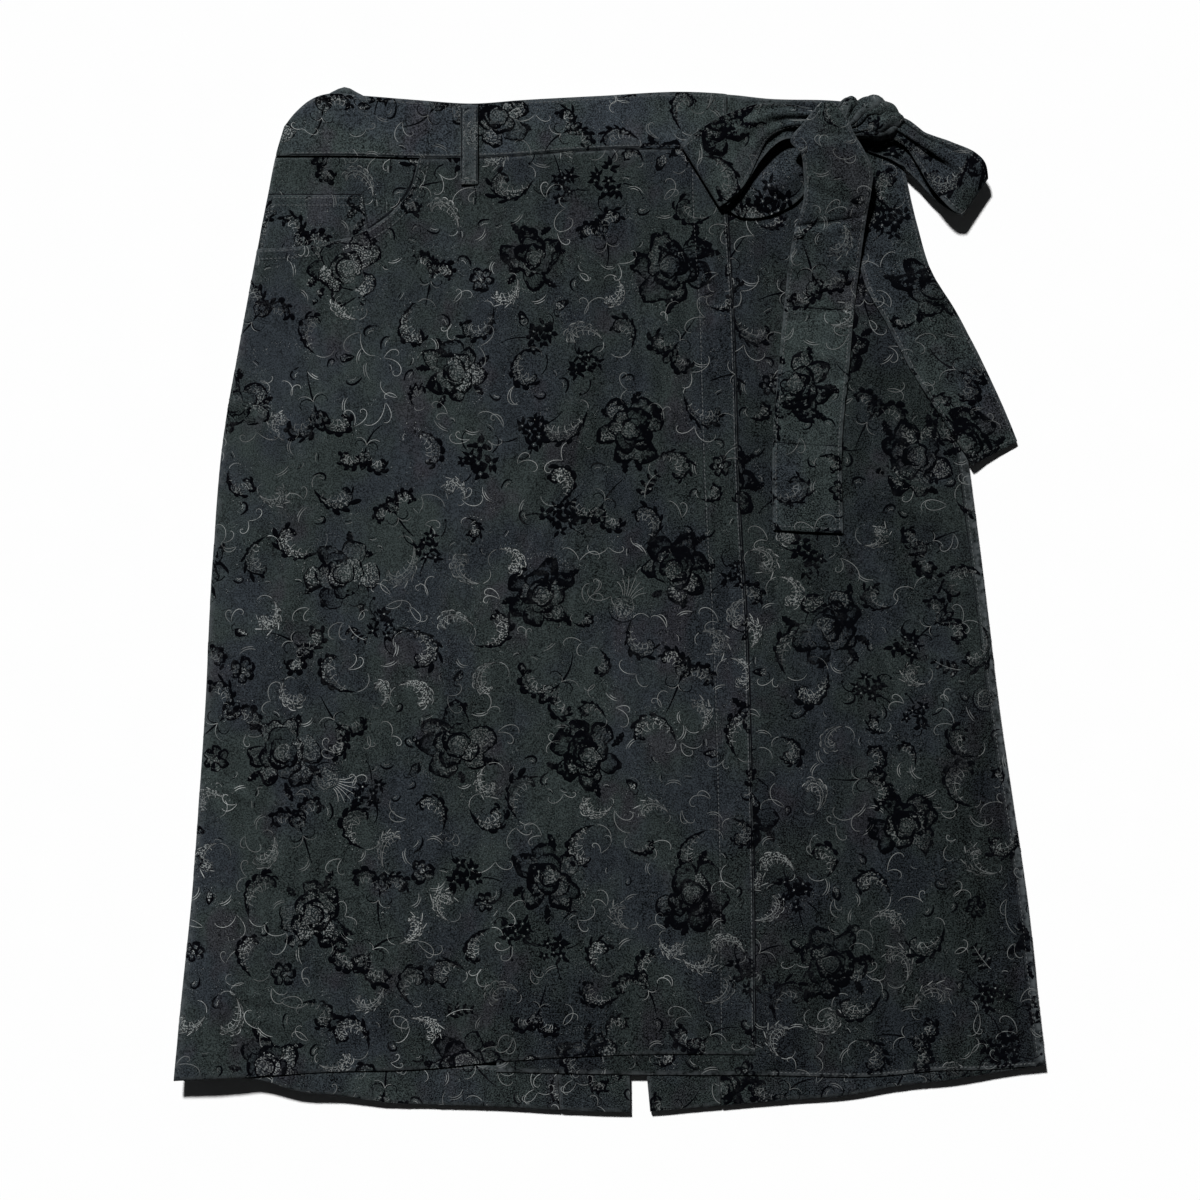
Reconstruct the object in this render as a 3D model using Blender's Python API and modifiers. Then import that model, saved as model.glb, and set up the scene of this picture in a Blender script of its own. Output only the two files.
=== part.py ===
"""Wrap skirt laid on its back, tied in a bow at the hip.

Run it with: blender --background --python part.py
X runs to the right across the laid skirt, Y towards its waist and Z up from the surface it lies on.
All sizes below are in millimetres. sheet() turns them into metres.
"""

import math

import bmesh
import bpy
import numpy as np

MM = 0.001

# Walls: one layer of cloth, the doubled waistband, the doubled tie and a turned-in edge.
CLOTH = 1.2
BAND = 2.4
STRIP = 2.0
TURNING = 1.0
AIR = 0.35

# Middle heights of the layers as they lie on each other.
BACK_Z = CLOTH / 2
TURNING_Z = CLOTH + AIR + TURNING / 2
UNDER_Z = 3.4
WRAP_Z = UNDER_Z + CLOTH + 0.6
BACK_BAND_Z = BAND / 2
UNDER_BAND_Z = BAND + AIR + BAND / 2
WRAP_BAND_Z = UNDER_BAND_Z + BAND + AIR
WRAP_BAND_SIDE_Z = 5.3
BACKING_DROP = 2.9
COIN_RISE = CLOTH / 2 + AIR + TURNING / 2

# The rounded sides, where front and back meet at the side seams.
SIDE_SEAM_Z = 3.1
SIDE_SEAM_GAP = 1.0
ROLL_SHAPE = 1.6
ROLL_STEPS = 3

# Lattice of the body: rows from the waist seam to the hem, columns between the guide lines.
ROWS = 33
BACK_ROWS = 14
BACK_COLUMNS = 8
COLUMNS = {"side_to_lap": 11, "lap_to_centre": 5, "centre_to_edge": 4, "edge_to_side": 10}
WAIST_Y = 332.0
HEM_Y = -352.0

# Vertical lines of the laid body: y, left side, free edge of the wrap, right side.
SIDES = (
    (356, -244, 85, 211),
    (332, -251, 85.5, 215.5),
    (300, -257.5, 86, 221),
    (262, -265, 88, 230),
    (225, -272, 90.5, 240.5),
    (187, -279, 92, 250.5),
    (150, -285.5, 93, 259),
    (112, -291.5, 94, 265.5),
    (75, -295, 95.5, 270.5),
    (37, -297.5, 97.5, 275.5),
    (0, -300, 100, 280),
    (-75, -303.5, 103, 289),
    (-150, -308.5, 105, 300),
    (-225, -314, 106.5, 311),
    (-300, -321, 107, 319),
    (-358, -326, 107.5, 325.5),
)

# The hidden edge of the underlap and the centre-back seam are straight: x at WAIST_Y, x at HEM_Y.
LAP_EDGE = (-61.0, -86.0)
CENTRE_BACK = (-15.0, 20.0)

# Lines across the body: x, y.
WAIST_SEAM = (
    (-251, 332.5), (-199, 332.5), (-146, 331), (-112, 331), (-83, 332), (-30, 336),
    (22, 338), (59, 337), (87, 334), (141, 331), (221, 325.5),
)
FRONT_HEM = (
    (-326, -357.5), (-271, -355.5), (-211, -352.5), (-141, -351), (-80, -345), (-27, -341.5),
    (107, -340), (201, -343), (280, -341), (325, -339),
)
UNDER_HEM = (
    (-86, -353), (14, -355), (119, -355.5), (201, -356), (240, -352), (280, -351), (325, -347.5),
)
BACK_HEM = (
    (-326, -358.5), (-262, -358.5), (-234, -367), (-203, -370.5), (-171, -376), (-131, -378),
    (-83, -379.5), (-39, -382), (20, -383.5), (71, -379.5), (126, -375), (179, -370.5),
    (216, -363.5), (254, -359), (291, -353), (325.5, -348),
)

# Top edges of the waistbands: x, y.
FRONT_TOP = (
    (-246, 354), (-240, 361.5), (-233, 368), (-222, 375.5), (-211, 378.5), (-188, 377),
    (-144, 373.5), (-104, 371), (-65, 373.5), (-9, 376.5), (59, 379.5), (92, 377.5),
    (115, 375), (171, 373), (219, 366),
)
BACK_TOP = (
    (-246, 349), (-233, 364), (-218, 375), (-207, 381.5), (-200, 384), (-190, 379.5),
    (-179, 374), (-158, 370), (-120, 367.5), (-9, 372), (66, 375), (141, 369.5), (219, 361),
)

# Ends of the waistbands: the two sides and the wrap's free edge.
BAND_LEFT = -246.0
BAND_RIGHT = 211.0
WRAP_BAND_END = 85.6

# Broad soft ridges: x and y of both ends, half width, height.
RIDGES = (
    (-22, 262, -26, 118, 17, 2.2),
    (-120, 250, -70, 60, 24, 1.4),
    (-205, 150, -150, -60, 22, 1.6),
    (-262, -20, -235, -230, 20, 2.0),
    (-120, -60, -160, -300, 22, 1.5),
    (-20, -90, -45, -330, 24, 1.4),
    (60, 60, 40, -140, 20, 1.6),
    (70, -200, 62, -335, 18, 1.3),
    (205, 80, 242, 62, 12, 1.6),
    (160, -60, 190, -280, 22, 1.6),
    (255, -60, 262, -250, 22, 1.8),
)
SIDE_BULGE = 2.6
SIDE_BULGE_REACH = 26.0
CORNER_LIFT = 7.0

# Mouth of the scooped pocket, from the waist seam to the side seam: x, y.
POCKET_MOUTH = (
    (-144, 331), (-149, 310.5), (-159.5, 295), (-173, 283), (-188.5, 274),
    (-209.5, 268), (-230.5, 264.5), (-249, 263), (-266, 262.5),
)
BACKING_BOTTOM_Y = 246.0
BACKING_RIGHT_X = -132.0
COIN_TOP_Y = 303.0
COIN_RIGHT = (-187.0, -178.5)
COIN_INSET = 1.2

# Vent of the back, its facings measured from the centre back, and the turned-up hem.
VENT_TOP_Y = -205.0
VENT_OPEN = 12.5
VENT_FACING_TOP_Y = -193.0
VENT_FACING = 60.0
HEM_TURNING = 30.0
HEM_SIDE_INSET = 9.0
TURNING_SETBACK = 0.5

LOOP_CENTRE = (-106.3, 340.5)
LOOP_SIZE = (12.5, 59.0)
LOOP_WALL = 1.6
LOOP_Z = 7.75
LOOP_ARCH = 1.3

# Tie, from the wrap's waistband to the knot: x, y of the top edge, y of the bottom edge.
TIE_LEAD = (
    (87.2, 376.5, 335), (112, 374.5, 338.5), (136, 373.5, 344.5), (157, 372, 350), (170, 369, 354),
)

# Hanging ends: x, y of the left edge, x, y of the right edge, height of the middle. None lies on the cloth.
FRONT_TAIL = (
    (152, 368, 168.5, 369, 25.5),
    (143.5, 358.5, 175, 361, 26.5),
    (134.5, 344, 181, 348, 26.2),
    (141, 332, 187, 334, 24.0),
    (143.5, 316, 193.5, 320, 20.0),
    (143.5, 296, 193.5, 302, 15.0),
    (138.5, 277, 190, 281, 11.5),
    (133, 254, 185.5, 254, 9.2),
    (130, 225, 182, 225, None),
    (125.5, 178, 177.5, 175, None),
    (121, 118, 172, 117, None),
    (121, 52.5, 173, 50, None),
)
SIDE_TAIL = (
    (184, 336, 215, 341, None),
    (181.5, 305, 221, 312, None),
    (183, 270, 228.5, 280, None),
    (190, 236, 239, 246, None),
    (207, 205, 257, 217, None),
    (225, 171, 273, 187, None),
    (241, 146, 287.5, 157, None),
    (257, 121, 298, 133, None),
    (269.5, 101, 303.5, 119, None),
)
TAIL_AIR = 0.8
TAIL_CROWN = 0.8
OVERHANG_Z = 2.6
OVERHANG_REACH = 13.0

# Loops of the bow, from beneath the knot out to the tip and back above:
# x, y, z of the upper edge, x, y, z of the lower edge.
LEFT_LOOP = (
    (152, 358, 9.4, 154, 340, 9.4),
    (132, 351, 9.4, 143, 303, 9.4),
    (108, 340, 9.4, 119, 288, 9.4),
    (80, 336, 9.5, 97, 286.5, 9.5),
    (57.5, 339.5, 9.9, 86, 292, 9.9),
    (52, 340, 12.5, 81, 293.5, 12.5),
    (57, 344, 15.2, 86, 297, 15.4),
    (70, 353.5, 17.5, 99.5, 307, 19.5),
    (88, 363, 19.2, 108.5, 329, 22.6),
    (110, 369.5, 19.6, 116, 343.5, 22.4),
    (130, 369, 19.2, 132, 350, 20.6),
    (149, 366, 18.0, 150, 353, 18.0),
)
RIGHT_LOOP = (
    (219, 346, 9.2, 192, 335.5, 9.2),
    (236, 338, 9.0, 212, 327.5, 9.0),
    (252, 329, 8.6, 227, 315, 8.6),
    (268, 318, 8.4, 243, 298.5, 8.4),
    (276, 314, 9.0, 256, 289.5, 9.0),
    (280, 314, 12.0, 262, 287.5, 12.0),
    (279.5, 321, 15.2, 256, 289.5, 15.2),
    (271, 333, 17.0, 239, 307, 16.6),
    (251, 341.5, 18.0, 228, 325, 18.0),
    (233, 348.5, 18.4, 219, 338, 19.0),
    (221.6, 357, 17.6, 210, 344, 18.6),
)
LOOP_CROWN = 1.6

KNOT_CENTRE = (197.0, 362.5, 15.7)
KNOT_HALF = (22.0, 15.5, 10.2)
KNOT_TILT = math.radians(-14.0)
KNOT_FOLDS = 9
KNOT_FOLD_DEPTH = 0.055
KNOT_FOCUS = (-0.75, -0.45)

# Moves the whole skirt so that its outline is centred on the origin.
CENTRING = (0.33, -0.18)


def smooth(value):
    """Rises from 0 to 1 with level ends as value goes from 0 to 1."""
    value = np.clip(value, 0.0, 1.0)
    return value * value * (3.0 - 2.0 * value)


def curve(rows, at, column=1):
    """A cubic curve through the rows of a table, read at the values `at` of its first column."""
    table = np.array(rows, dtype=float)
    table = table[np.argsort(table[:, 0])]
    knots = table[:, 0]
    values = table[:, column]
    slopes = np.gradient(values, knots)
    at = np.clip(np.asarray(at, dtype=float), knots[0], knots[-1])
    low = np.clip(np.searchsorted(knots, at) - 1, 0, len(knots) - 2)
    step = knots[low + 1] - knots[low]
    t = (at - knots[low]) / step
    rise = t * t * (3.0 - 2.0 * t)
    start = t * (1.0 - t) ** 2 * slopes[low]
    end = t * t * (1.0 - t) * slopes[low + 1]
    return values[low] + rise * (values[low + 1] - values[low]) + step * (start - end)


def left_side(y):
    return curve(SIDES, y, 1)


def wrap_edge(y):
    return curve(SIDES, y, 2)


def right_side(y):
    return curve(SIDES, y, 3)


def straight(line, y):
    """x of a straight line given at the waist seam and at the hem."""
    top, bottom = line
    return top + (bottom - top) * (WAIST_Y - y) / (WAIST_Y - HEM_Y)


def relief(x, y):
    """Height that the soft ridges and the full sides add to both front layers."""
    total = 0.35 * (1.0 + np.sin(x / 47.0 + 1.3 * np.sin(y / 95.0)))
    for x0, y0, x1, y1, half_width, height in RIDGES:
        along_x, along_y = x1 - x0, y1 - y0
        length = math.hypot(along_x, along_y)
        t = np.clip(((x - x0) * along_x + (y - y0) * along_y) / length**2, 0.0, 1.0)
        apart = np.hypot(x - x0 - t * along_x, y - y0 - t * along_y)
        total = total + height * np.exp(-((apart / half_width) ** 2))
    inside = x - left_side(y)
    bulge = np.exp(-((inside / SIDE_BULGE_REACH - 1.0) ** 2))
    total = total + SIDE_BULGE * smooth((200.0 - y) / 300.0) * bulge
    return total * smooth((WAIST_Y - 14.0 - y) / 60.0)


def corner_lift(x, y):
    """The lower left corner stands off the surface, all layers together."""
    return CORNER_LIFT * smooth((-150.0 - x) / 190.0) * smooth((-190.0 - y) / 180.0)


def near_waist(y):
    return 1.0 - smooth((WAIST_Y - y) / 45.0)


def over_lap(x):
    """0 left of the underlap's hidden edge and 1 where the wrap lies on it, near the waist."""
    return smooth((x - LAP_EDGE[0] + 45.0) / 35.0)


def under_height(x, y):
    waist = near_waist(y) * (UNDER_BAND_Z - UNDER_Z)
    return UNDER_Z + relief(x, y) + waist


def wrap_height(x, y):
    return WRAP_Z + relief(x, y) + near_waist(y) * (wrap_band_height(x) - WRAP_Z)


def rolled(inside, middle, seam_z):
    """Height near a side: a quarter ellipse from the seam up to the layer's own height."""
    width = ROLL_SHAPE * np.abs(middle - seam_z)
    t = np.clip(inside / np.maximum(width, 0.01), 0.0, 1.0)
    return seam_z + (middle - seam_z) * np.sqrt(1.0 - (1.0 - t) ** 2)


def roll_distances(width):
    """Distances from the side of the columns on the rounded part, for each row's width."""
    angles = np.linspace(0.0, math.pi / 2, ROLL_STEPS + 1)[:-1]
    return width[:, None] * (1.0 - np.cos(angles))[None, :]


def row_y(x, v, hem):
    """y of a lattice point: v runs from 0 at the waist seam to 1 at the hem line."""
    top = curve(WAIST_SEAM, x)
    return top + (curve(hem, x) - top) * v


def between(left, right, count):
    """Columns from the line left to the line right, with both of them."""
    t = np.linspace(0.0, 1.0, count + 1)[None, :]
    return left[:, None] * (1.0 - t) + right[:, None] * t


def joined(*blocks):
    """Blocks of columns side by side, each meeting the next on a shared line."""
    kept = [block[:, :-1] for block in blocks[:-1]]
    return np.concatenate(kept + [blocks[-1]], axis=1)


def lattice_rows(rows):
    v = np.linspace(0.0, 1.0, rows + 1)
    return v, WAIST_Y + (HEM_Y - WAIST_Y) * v


def new_collection(name):
    collection = bpy.data.collections.new(name)
    bpy.context.scene.collection.children.link(collection)
    return collection


def cloth_material(name, colour, roughness):
    material = bpy.data.materials.new(name)
    material.use_nodes = True
    shader = material.node_tree.nodes["Principled BSDF"]
    shader.inputs["Base Color"].default_value = (*colour, 1.0)
    shader.inputs["Roughness"].default_value = roughness
    shader.inputs["Metallic"].default_value = 0.0
    return material


def add_object(name, mesh, material, collection, parent):
    part = bpy.data.objects.new(name, mesh)
    part.data.materials.append(material)
    collection.objects.link(part)
    part.parent = parent
    return part


class Skirt:
    """Holds the collections and the empty that every piece is placed by."""

    def __init__(self):
        self.parts = new_collection("wrap_skirt")
        self.cutters = new_collection("wrap_skirt_cutters")
        self.origin = bpy.data.objects.new("wrap_skirt_origin", None)
        self.origin.location = (CENTRING[0] * MM, CENTRING[1] * MM, 0.0)
        self.parts.objects.link(self.origin)

    def sheet(self, name, x, y, z, thickness, material):
        """A wall of cloth: an open grid of points, thickened about its middle.

        Rows run down the piece and columns to the right, so that its faces look up.
        """
        rows, columns = x.shape
        points = np.stack([x, y, z], axis=-1).reshape(-1, 3) * MM
        index = np.arange(rows * columns).reshape(rows, columns)
        faces = np.stack([index[:-1, :-1], index[1:, :-1], index[1:, 1:], index[:-1, 1:]], axis=-1)
        mesh = bpy.data.meshes.new(name)
        mesh.from_pydata(points.tolist(), [], faces.reshape(-1, 4).tolist())
        mesh.shade_smooth()
        part = add_object(name, mesh, material, self.parts, self.origin)
        wall = part.modifiers.new("wall", "SOLIDIFY")
        wall.thickness = thickness * MM
        wall.offset = 0.0
        wall.use_rim = True
        return part

    def cutter(self, name, outline, low, high):
        """A flat outline drawn as a curve and made a solid that cuts, hidden from the model."""
        drawing = bpy.data.curves.new(name, "CURVE")
        drawing.dimensions = "2D"
        drawing.fill_mode = "BOTH"
        drawing.extrude = (high - low) / 2 * MM
        spline = drawing.splines.new("POLY")
        spline.points.add(len(outline) - 1)
        for point, (x, y) in zip(spline.points, outline):
            point.co = (x * MM, y * MM, 0.0, 1.0)
        spline.use_cyclic_u = True
        flat = bpy.data.objects.new(name + "_drawing", drawing)
        self.cutters.objects.link(flat)
        bpy.context.view_layer.update()
        evaluated = flat.evaluated_get(bpy.context.evaluated_depsgraph_get())
        mesh = bpy.data.meshes.new_from_object(evaluated)
        welded = bmesh.new()
        welded.from_mesh(mesh)
        bmesh.ops.remove_doubles(welded, verts=welded.verts, dist=1e-6)
        bmesh.ops.recalc_face_normals(welded, faces=welded.faces)
        bmesh.ops.translate(welded, verts=welded.verts, vec=(0.0, 0.0, (low + high) / 2 * MM))
        welded.to_mesh(mesh)
        welded.free()
        solid = bpy.data.objects.new(name, mesh)
        solid.parent = self.origin
        solid.hide_render = True
        solid.display_type = "WIRE"
        self.cutters.objects.link(solid)
        bpy.data.objects.remove(flat)
        return solid


def cut_away(part, cutter):
    opening = part.modifiers.new("opening", "BOOLEAN")
    opening.operation = "DIFFERENCE"
    opening.object = cutter


def slit_half(y):
    """Half the gap between the back halves: closed above the vent, opening towards the hem."""
    opened = VENT_OPEN * np.clip((VENT_TOP_Y - y) / (VENT_TOP_Y - HEM_Y), 0.0, 1.2)
    return np.maximum(opened, AIR) / 2


def back_panels(skirt, material):
    """Both halves of the back, flat where they rest and curling up to the side seams."""
    v, nominal = lattice_rows(BACK_ROWS)
    seam_z = SIDE_SEAM_Z - SIDE_SEAM_GAP / 2
    width = np.full(len(v), ROLL_SHAPE * (seam_z - BACK_Z))
    left = left_side(nominal)
    right = right_side(nominal)
    centre = straight(CENTRE_BACK, nominal)
    rolled_part = roll_distances(width)
    left_flat = between(left + width, centre - slit_half(nominal), BACK_COLUMNS)
    right_flat = between(centre + slit_half(nominal), right - width, BACK_COLUMNS)
    halves = {
        "back_left_panel": np.concatenate([left[:, None] + rolled_part, left_flat], axis=1),
        "back_right_panel": np.concatenate([right_flat, right[:, None] - rolled_part[:, ::-1]], axis=1),
    }
    for name, x in halves.items():
        y = row_y(x, v[:, None], BACK_HEM) - seam_allowance(v)
        inside = np.minimum(x - left[:, None], right[:, None] - x)
        skirt.sheet(name, x, y, rolled(inside, BACK_Z, seam_z) + corner_lift(x, y), CLOTH, material)


def back_turnings(skirt, material):
    """On each half of the back: the turned-in edge of the vent and the turned-up hem beside it."""
    hem_level = float(curve(BACK_HEM, CENTRE_BACK[1])) + TURNING_SETBACK
    for name, side, outline in (("left", -1, 1), ("right", 1, 3)):
        down = np.linspace(0.0, 1.0, 9)[:, None]
        level = VENT_FACING_TOP_Y + (hem_level - VENT_FACING_TOP_Y) * down
        slit = straight(CENTRE_BACK, level) + side * (slit_half(level) + TURNING_SETBACK / 2)
        far = straight(CENTRE_BACK, level) + side * VENT_FACING
        x = low_to_high(slit, far, 3)
        bottom = curve(BACK_HEM, x) + TURNING_SETBACK
        y = VENT_FACING_TOP_Y + (bottom - VENT_FACING_TOP_Y) * down
        skirt.sheet(f"vent_{name}_facing", x, y, np.full(x.shape, TURNING_Z), TURNING, material)

        up = HEM_TURNING * np.linspace(1.0, 0.0, 3)[:, None]
        outer = curve(SIDES, HEM_Y, outline) - side * HEM_SIDE_INSET + 0.0 * up
        inner = straight(CENTRE_BACK, hem_level + up) + side * (VENT_FACING + 2 * AIR)
        x = low_to_high(outer, inner, 11)
        y = curve(BACK_HEM, x) + TURNING_SETBACK + up
        skirt.sheet(f"back_{name}_hem", x, y, TURNING_Z + corner_lift(x, y), TURNING, material)


def low_to_high(one, other, count):
    """Columns between two lines, from the one further left to the one further right."""
    return between(np.minimum(one, other)[:, 0], np.maximum(one, other)[:, 0], count)


def wrap_panel(skirt, material):
    """The front wrap, rounded down to the left side seam and free along its right edge."""
    v, nominal = lattice_rows(ROWS)
    left = left_side(nominal)
    seam_z = SIDE_SEAM_Z + SIDE_SEAM_GAP / 2
    top = wrap_height(left + 12.0, nominal)
    width = ROLL_SHAPE * (top - seam_z)
    blocks = joined(
        between(left + width, straight(LAP_EDGE, nominal), COLUMNS["side_to_lap"]),
        between(straight(LAP_EDGE, nominal), straight(CENTRE_BACK, nominal), COLUMNS["lap_to_centre"]),
        between(straight(CENTRE_BACK, nominal), wrap_edge(nominal), COLUMNS["centre_to_edge"]),
    )
    x = np.concatenate([left[:, None] + roll_distances(width), blocks], axis=1)
    y = row_y(x, v[:, None], FRONT_HEM) - seam_allowance(v)
    z = rolled(x - left[:, None], wrap_height(x, y), seam_z) + corner_lift(x, y)
    panel = skirt.sheet("wrap_panel", x, y, z, CLOTH, material)
    mouth = list(POCKET_MOUTH) + [(-330.0, 262.5), (-330.0, 400.0), (-144.0, 400.0)]
    cut_away(panel, skirt.cutter("pocket_mouth", mouth, -20.0, 40.0))


def seam_allowance(v):
    """Air between the panel and the waistband, only at the very top."""
    return 0.6 * (1.0 - np.clip(v[:, None] * BACK_ROWS, 0.0, 1.0))


def under_panel(skirt, material):
    """The underlap, hidden beneath the wrap on the left and rounded down to the right side seam."""
    v, nominal = lattice_rows(ROWS)
    right = right_side(nominal)
    seam_z = SIDE_SEAM_Z + SIDE_SEAM_GAP / 2
    top = under_height(right - 12.0, nominal)
    width = ROLL_SHAPE * np.maximum(top - seam_z, 0.9)
    blocks = joined(
        between(straight(LAP_EDGE, nominal), straight(CENTRE_BACK, nominal), COLUMNS["lap_to_centre"]),
        between(straight(CENTRE_BACK, nominal), wrap_edge(nominal), COLUMNS["centre_to_edge"]),
        between(wrap_edge(nominal), right - width, COLUMNS["edge_to_side"]),
    )
    x = np.concatenate([blocks, right[:, None] - roll_distances(width)[:, ::-1]], axis=1)
    y = row_y(x, v[:, None], FRONT_HEM) - seam_allowance(v)
    last_y = curve(UNDER_HEM, x[-1:])
    x = np.concatenate([x, x[-1:]], axis=0)
    y = np.concatenate([y, last_y], axis=0)
    right = np.append(right, right[-1])
    z = rolled(right[:, None] - x, under_height(x, y), seam_z)
    skirt.sheet("under_panel", x, y, z, CLOTH, material)


def band(skirt, name, ends, top_line, height, columns, material):
    """A stretch of waistband between two x values, from the waist seam up to its top line.

    An end on a side of the body leans as that side does.
    """
    up = np.linspace(1.0, 0.0, 4)[:, None]
    x = np.linspace(ends[0], ends[1], columns + 1)[None, :] * np.ones((4, 1))
    bottom = curve(WAIST_SEAM, x) + 0.1
    y = bottom + (curve(top_line, x) - bottom) * up
    if ends[0] == BAND_LEFT:
        x[:, 0] = left_side(y[:, 0])
    if ends[1] == BAND_RIGHT:
        x[:, -1] = right_side(y[:, -1])
    skirt.sheet(name, x, y, height + 0.0 * x if np.isscalar(height) else height(x), BAND, material)


def wrap_band_height(x):
    return WRAP_BAND_SIDE_Z + (WRAP_BAND_Z - WRAP_BAND_SIDE_Z) * over_lap(x)


def waistbands(skirt, material):
    band(skirt, "back_waistband", (BAND_LEFT, BAND_RIGHT), BACK_TOP, BACK_BAND_Z, 30, material)
    band(skirt, "under_waistband", (LAP_EDGE[0], BAND_RIGHT), FRONT_TOP, UNDER_BAND_Z, 14, material)
    band(skirt, "wrap_waistband", (BAND_LEFT, WRAP_BAND_END), FRONT_TOP, wrap_band_height, 26, material)


def pocket(skirt, material):
    """The backing that shows inside the pocket mouth and the coin pocket sewn on it."""
    rows = np.linspace(0.0, 1.0, 9)[:, None]
    columns = np.linspace(0.0, 1.0, 12)[None, :]
    y_nominal = 331.0 + (BACKING_BOTTOM_Y - 331.0) * rows
    inset = 3.2 * smooth((272.0 - y_nominal) / 12.0)
    side = left_side(y_nominal) + inset
    x = side + (BACKING_RIGHT_X - side) * columns
    top = curve(WAIST_SEAM, x) - 0.5
    y = top + (BACKING_BOTTOM_Y - top) * rows
    skirt.sheet("pocket_backing", x, y, backing_height(x, y), CLOTH, material)

    rows = np.linspace(0.0, 1.0, 6)[:, None]
    columns = np.linspace(0.0, 1.0, 8)[None, :]
    y = COIN_TOP_Y + (BACKING_BOTTOM_Y + 8.0 - COIN_TOP_Y) * rows + 0.0 * columns
    left = left_side(y) + 3.0 + COIN_INSET
    right = COIN_RIGHT[0] + (COIN_RIGHT[1] - COIN_RIGHT[0]) * rows
    x = left + (right - left) * columns
    skirt.sheet("coin_pocket", x, y, backing_height(x, y) + COIN_RISE + 0.05, TURNING, material)


def backing_height(x, y):
    """The backing lies below the wrap and rises to the side seam where the mouth leaves it bare."""
    bare = 1.0 - smooth((281.0 - y) / 14.0)
    rise = 1.5 * (1.0 - smooth((x - left_side(y)) / 14.0)) * bare
    return wrap_height(x, y) - BACKING_DROP + rise


def belt_loop(skirt, material):
    rows = np.linspace(0.0, 1.0, 13)[:, None]
    across = np.linspace(-0.5, 0.5, 3)[None, :]
    x = LOOP_CENTRE[0] + LOOP_SIZE[0] * across + 0.0 * rows
    y = LOOP_CENTRE[1] + LOOP_SIZE[1] * (0.5 - rows) + 0.0 * across
    z = LOOP_Z + LOOP_ARCH * np.sin(math.pi * rows) ** 0.6 + 0.0 * across
    skirt.sheet("belt_loop", x, y, z, LOOP_WALL, material)


def resampled(rows, count):
    """Stations along a table of edge points, evenly spaced on a smooth curve through its rows."""
    table = np.array(rows, dtype=float)
    steps = np.linalg.norm(np.diff(table, axis=0), axis=1)
    way = np.concatenate([[0.0], np.cumsum(steps)])
    at = np.linspace(0.0, way[-1], count + 1)
    keyed = np.column_stack([way, table])
    return np.stack([curve(keyed, at, column) for column in range(1, table.shape[1] + 1)], axis=1)


def tie_lead(skirt, material):
    rows = resampled(TIE_LEAD, 8)
    t = np.linspace(0.0, 1.0, 4)[:, None]
    x = rows[:, 0][None, :] + 0.0 * t
    y = rows[:, 1][None, :] * (1.0 - t) + rows[:, 2][None, :] * t
    z = np.full(x.shape, WRAP_BAND_Z)
    skirt.sheet("tie_lead", x, y, z, STRIP, material)


def laid_height(x, y):
    """Middle of a doubled strip that lies on the front and falls to the surface past the side."""
    cloth = under_height(x, y) + CLOTH / 2 + TAIL_AIR + STRIP / 2
    past = np.maximum(x - right_side(y) + 1.0, 0.0)
    return OVERHANG_Z + (cloth - OVERHANG_Z) * np.exp(-((past / OVERHANG_REACH) ** 2))


def hanging_end(skirt, name, rows, count, material):
    """A tail of the tie: its edges follow the table, its middle is a little crowned."""
    table = [row[:4] + (laid_height(*row_middle(row)) if row[4] is None else row[4],) for row in rows]
    raised = [row[:4] + (0.0 if row[4] is None else 1.0,) for row in rows]
    stations = resampled(table, count)
    free = np.clip(resampled(raised, count)[:, 4], 0.0, 1.0)[:, None]
    across = np.linspace(0.0, 1.0, 7)[None, :]
    x = stations[:, 0:1] * (1.0 - across) + stations[:, 2:3] * across
    y = stations[:, 1:2] * (1.0 - across) + stations[:, 3:4] * across
    lying = laid_height(x, y)
    z = free * stations[:, 4:5] + (1.0 - free) * lying + TAIL_CROWN * np.sin(math.pi * across)
    skirt.sheet(name, x, y, np.maximum(z, lying), STRIP, material)


def row_middle(row):
    return (row[0] + row[2]) / 2, (row[1] + row[3]) / 2


def bow_loop(skirt, name, rows, count, material):
    """A loop of the bow: a strip carried out to the tip and back, crowned away from its fold."""
    stations = resampled(rows, count)
    across = np.linspace(0.0, 1.0, 7)[None, :]
    edges = [stations[:, k:k + 1] * (1.0 - across) + stations[:, k + 3:k + 4] * across for k in range(3)]
    upper_half = smooth((np.linspace(0.0, 1.0, count + 1)[:, None] - 0.55) / 0.2)
    crown = LOOP_CROWN * upper_half * np.sin(math.pi * across)
    skirt.sheet(name, edges[0], edges[1], edges[2] + crown, STRIP, material)


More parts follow.
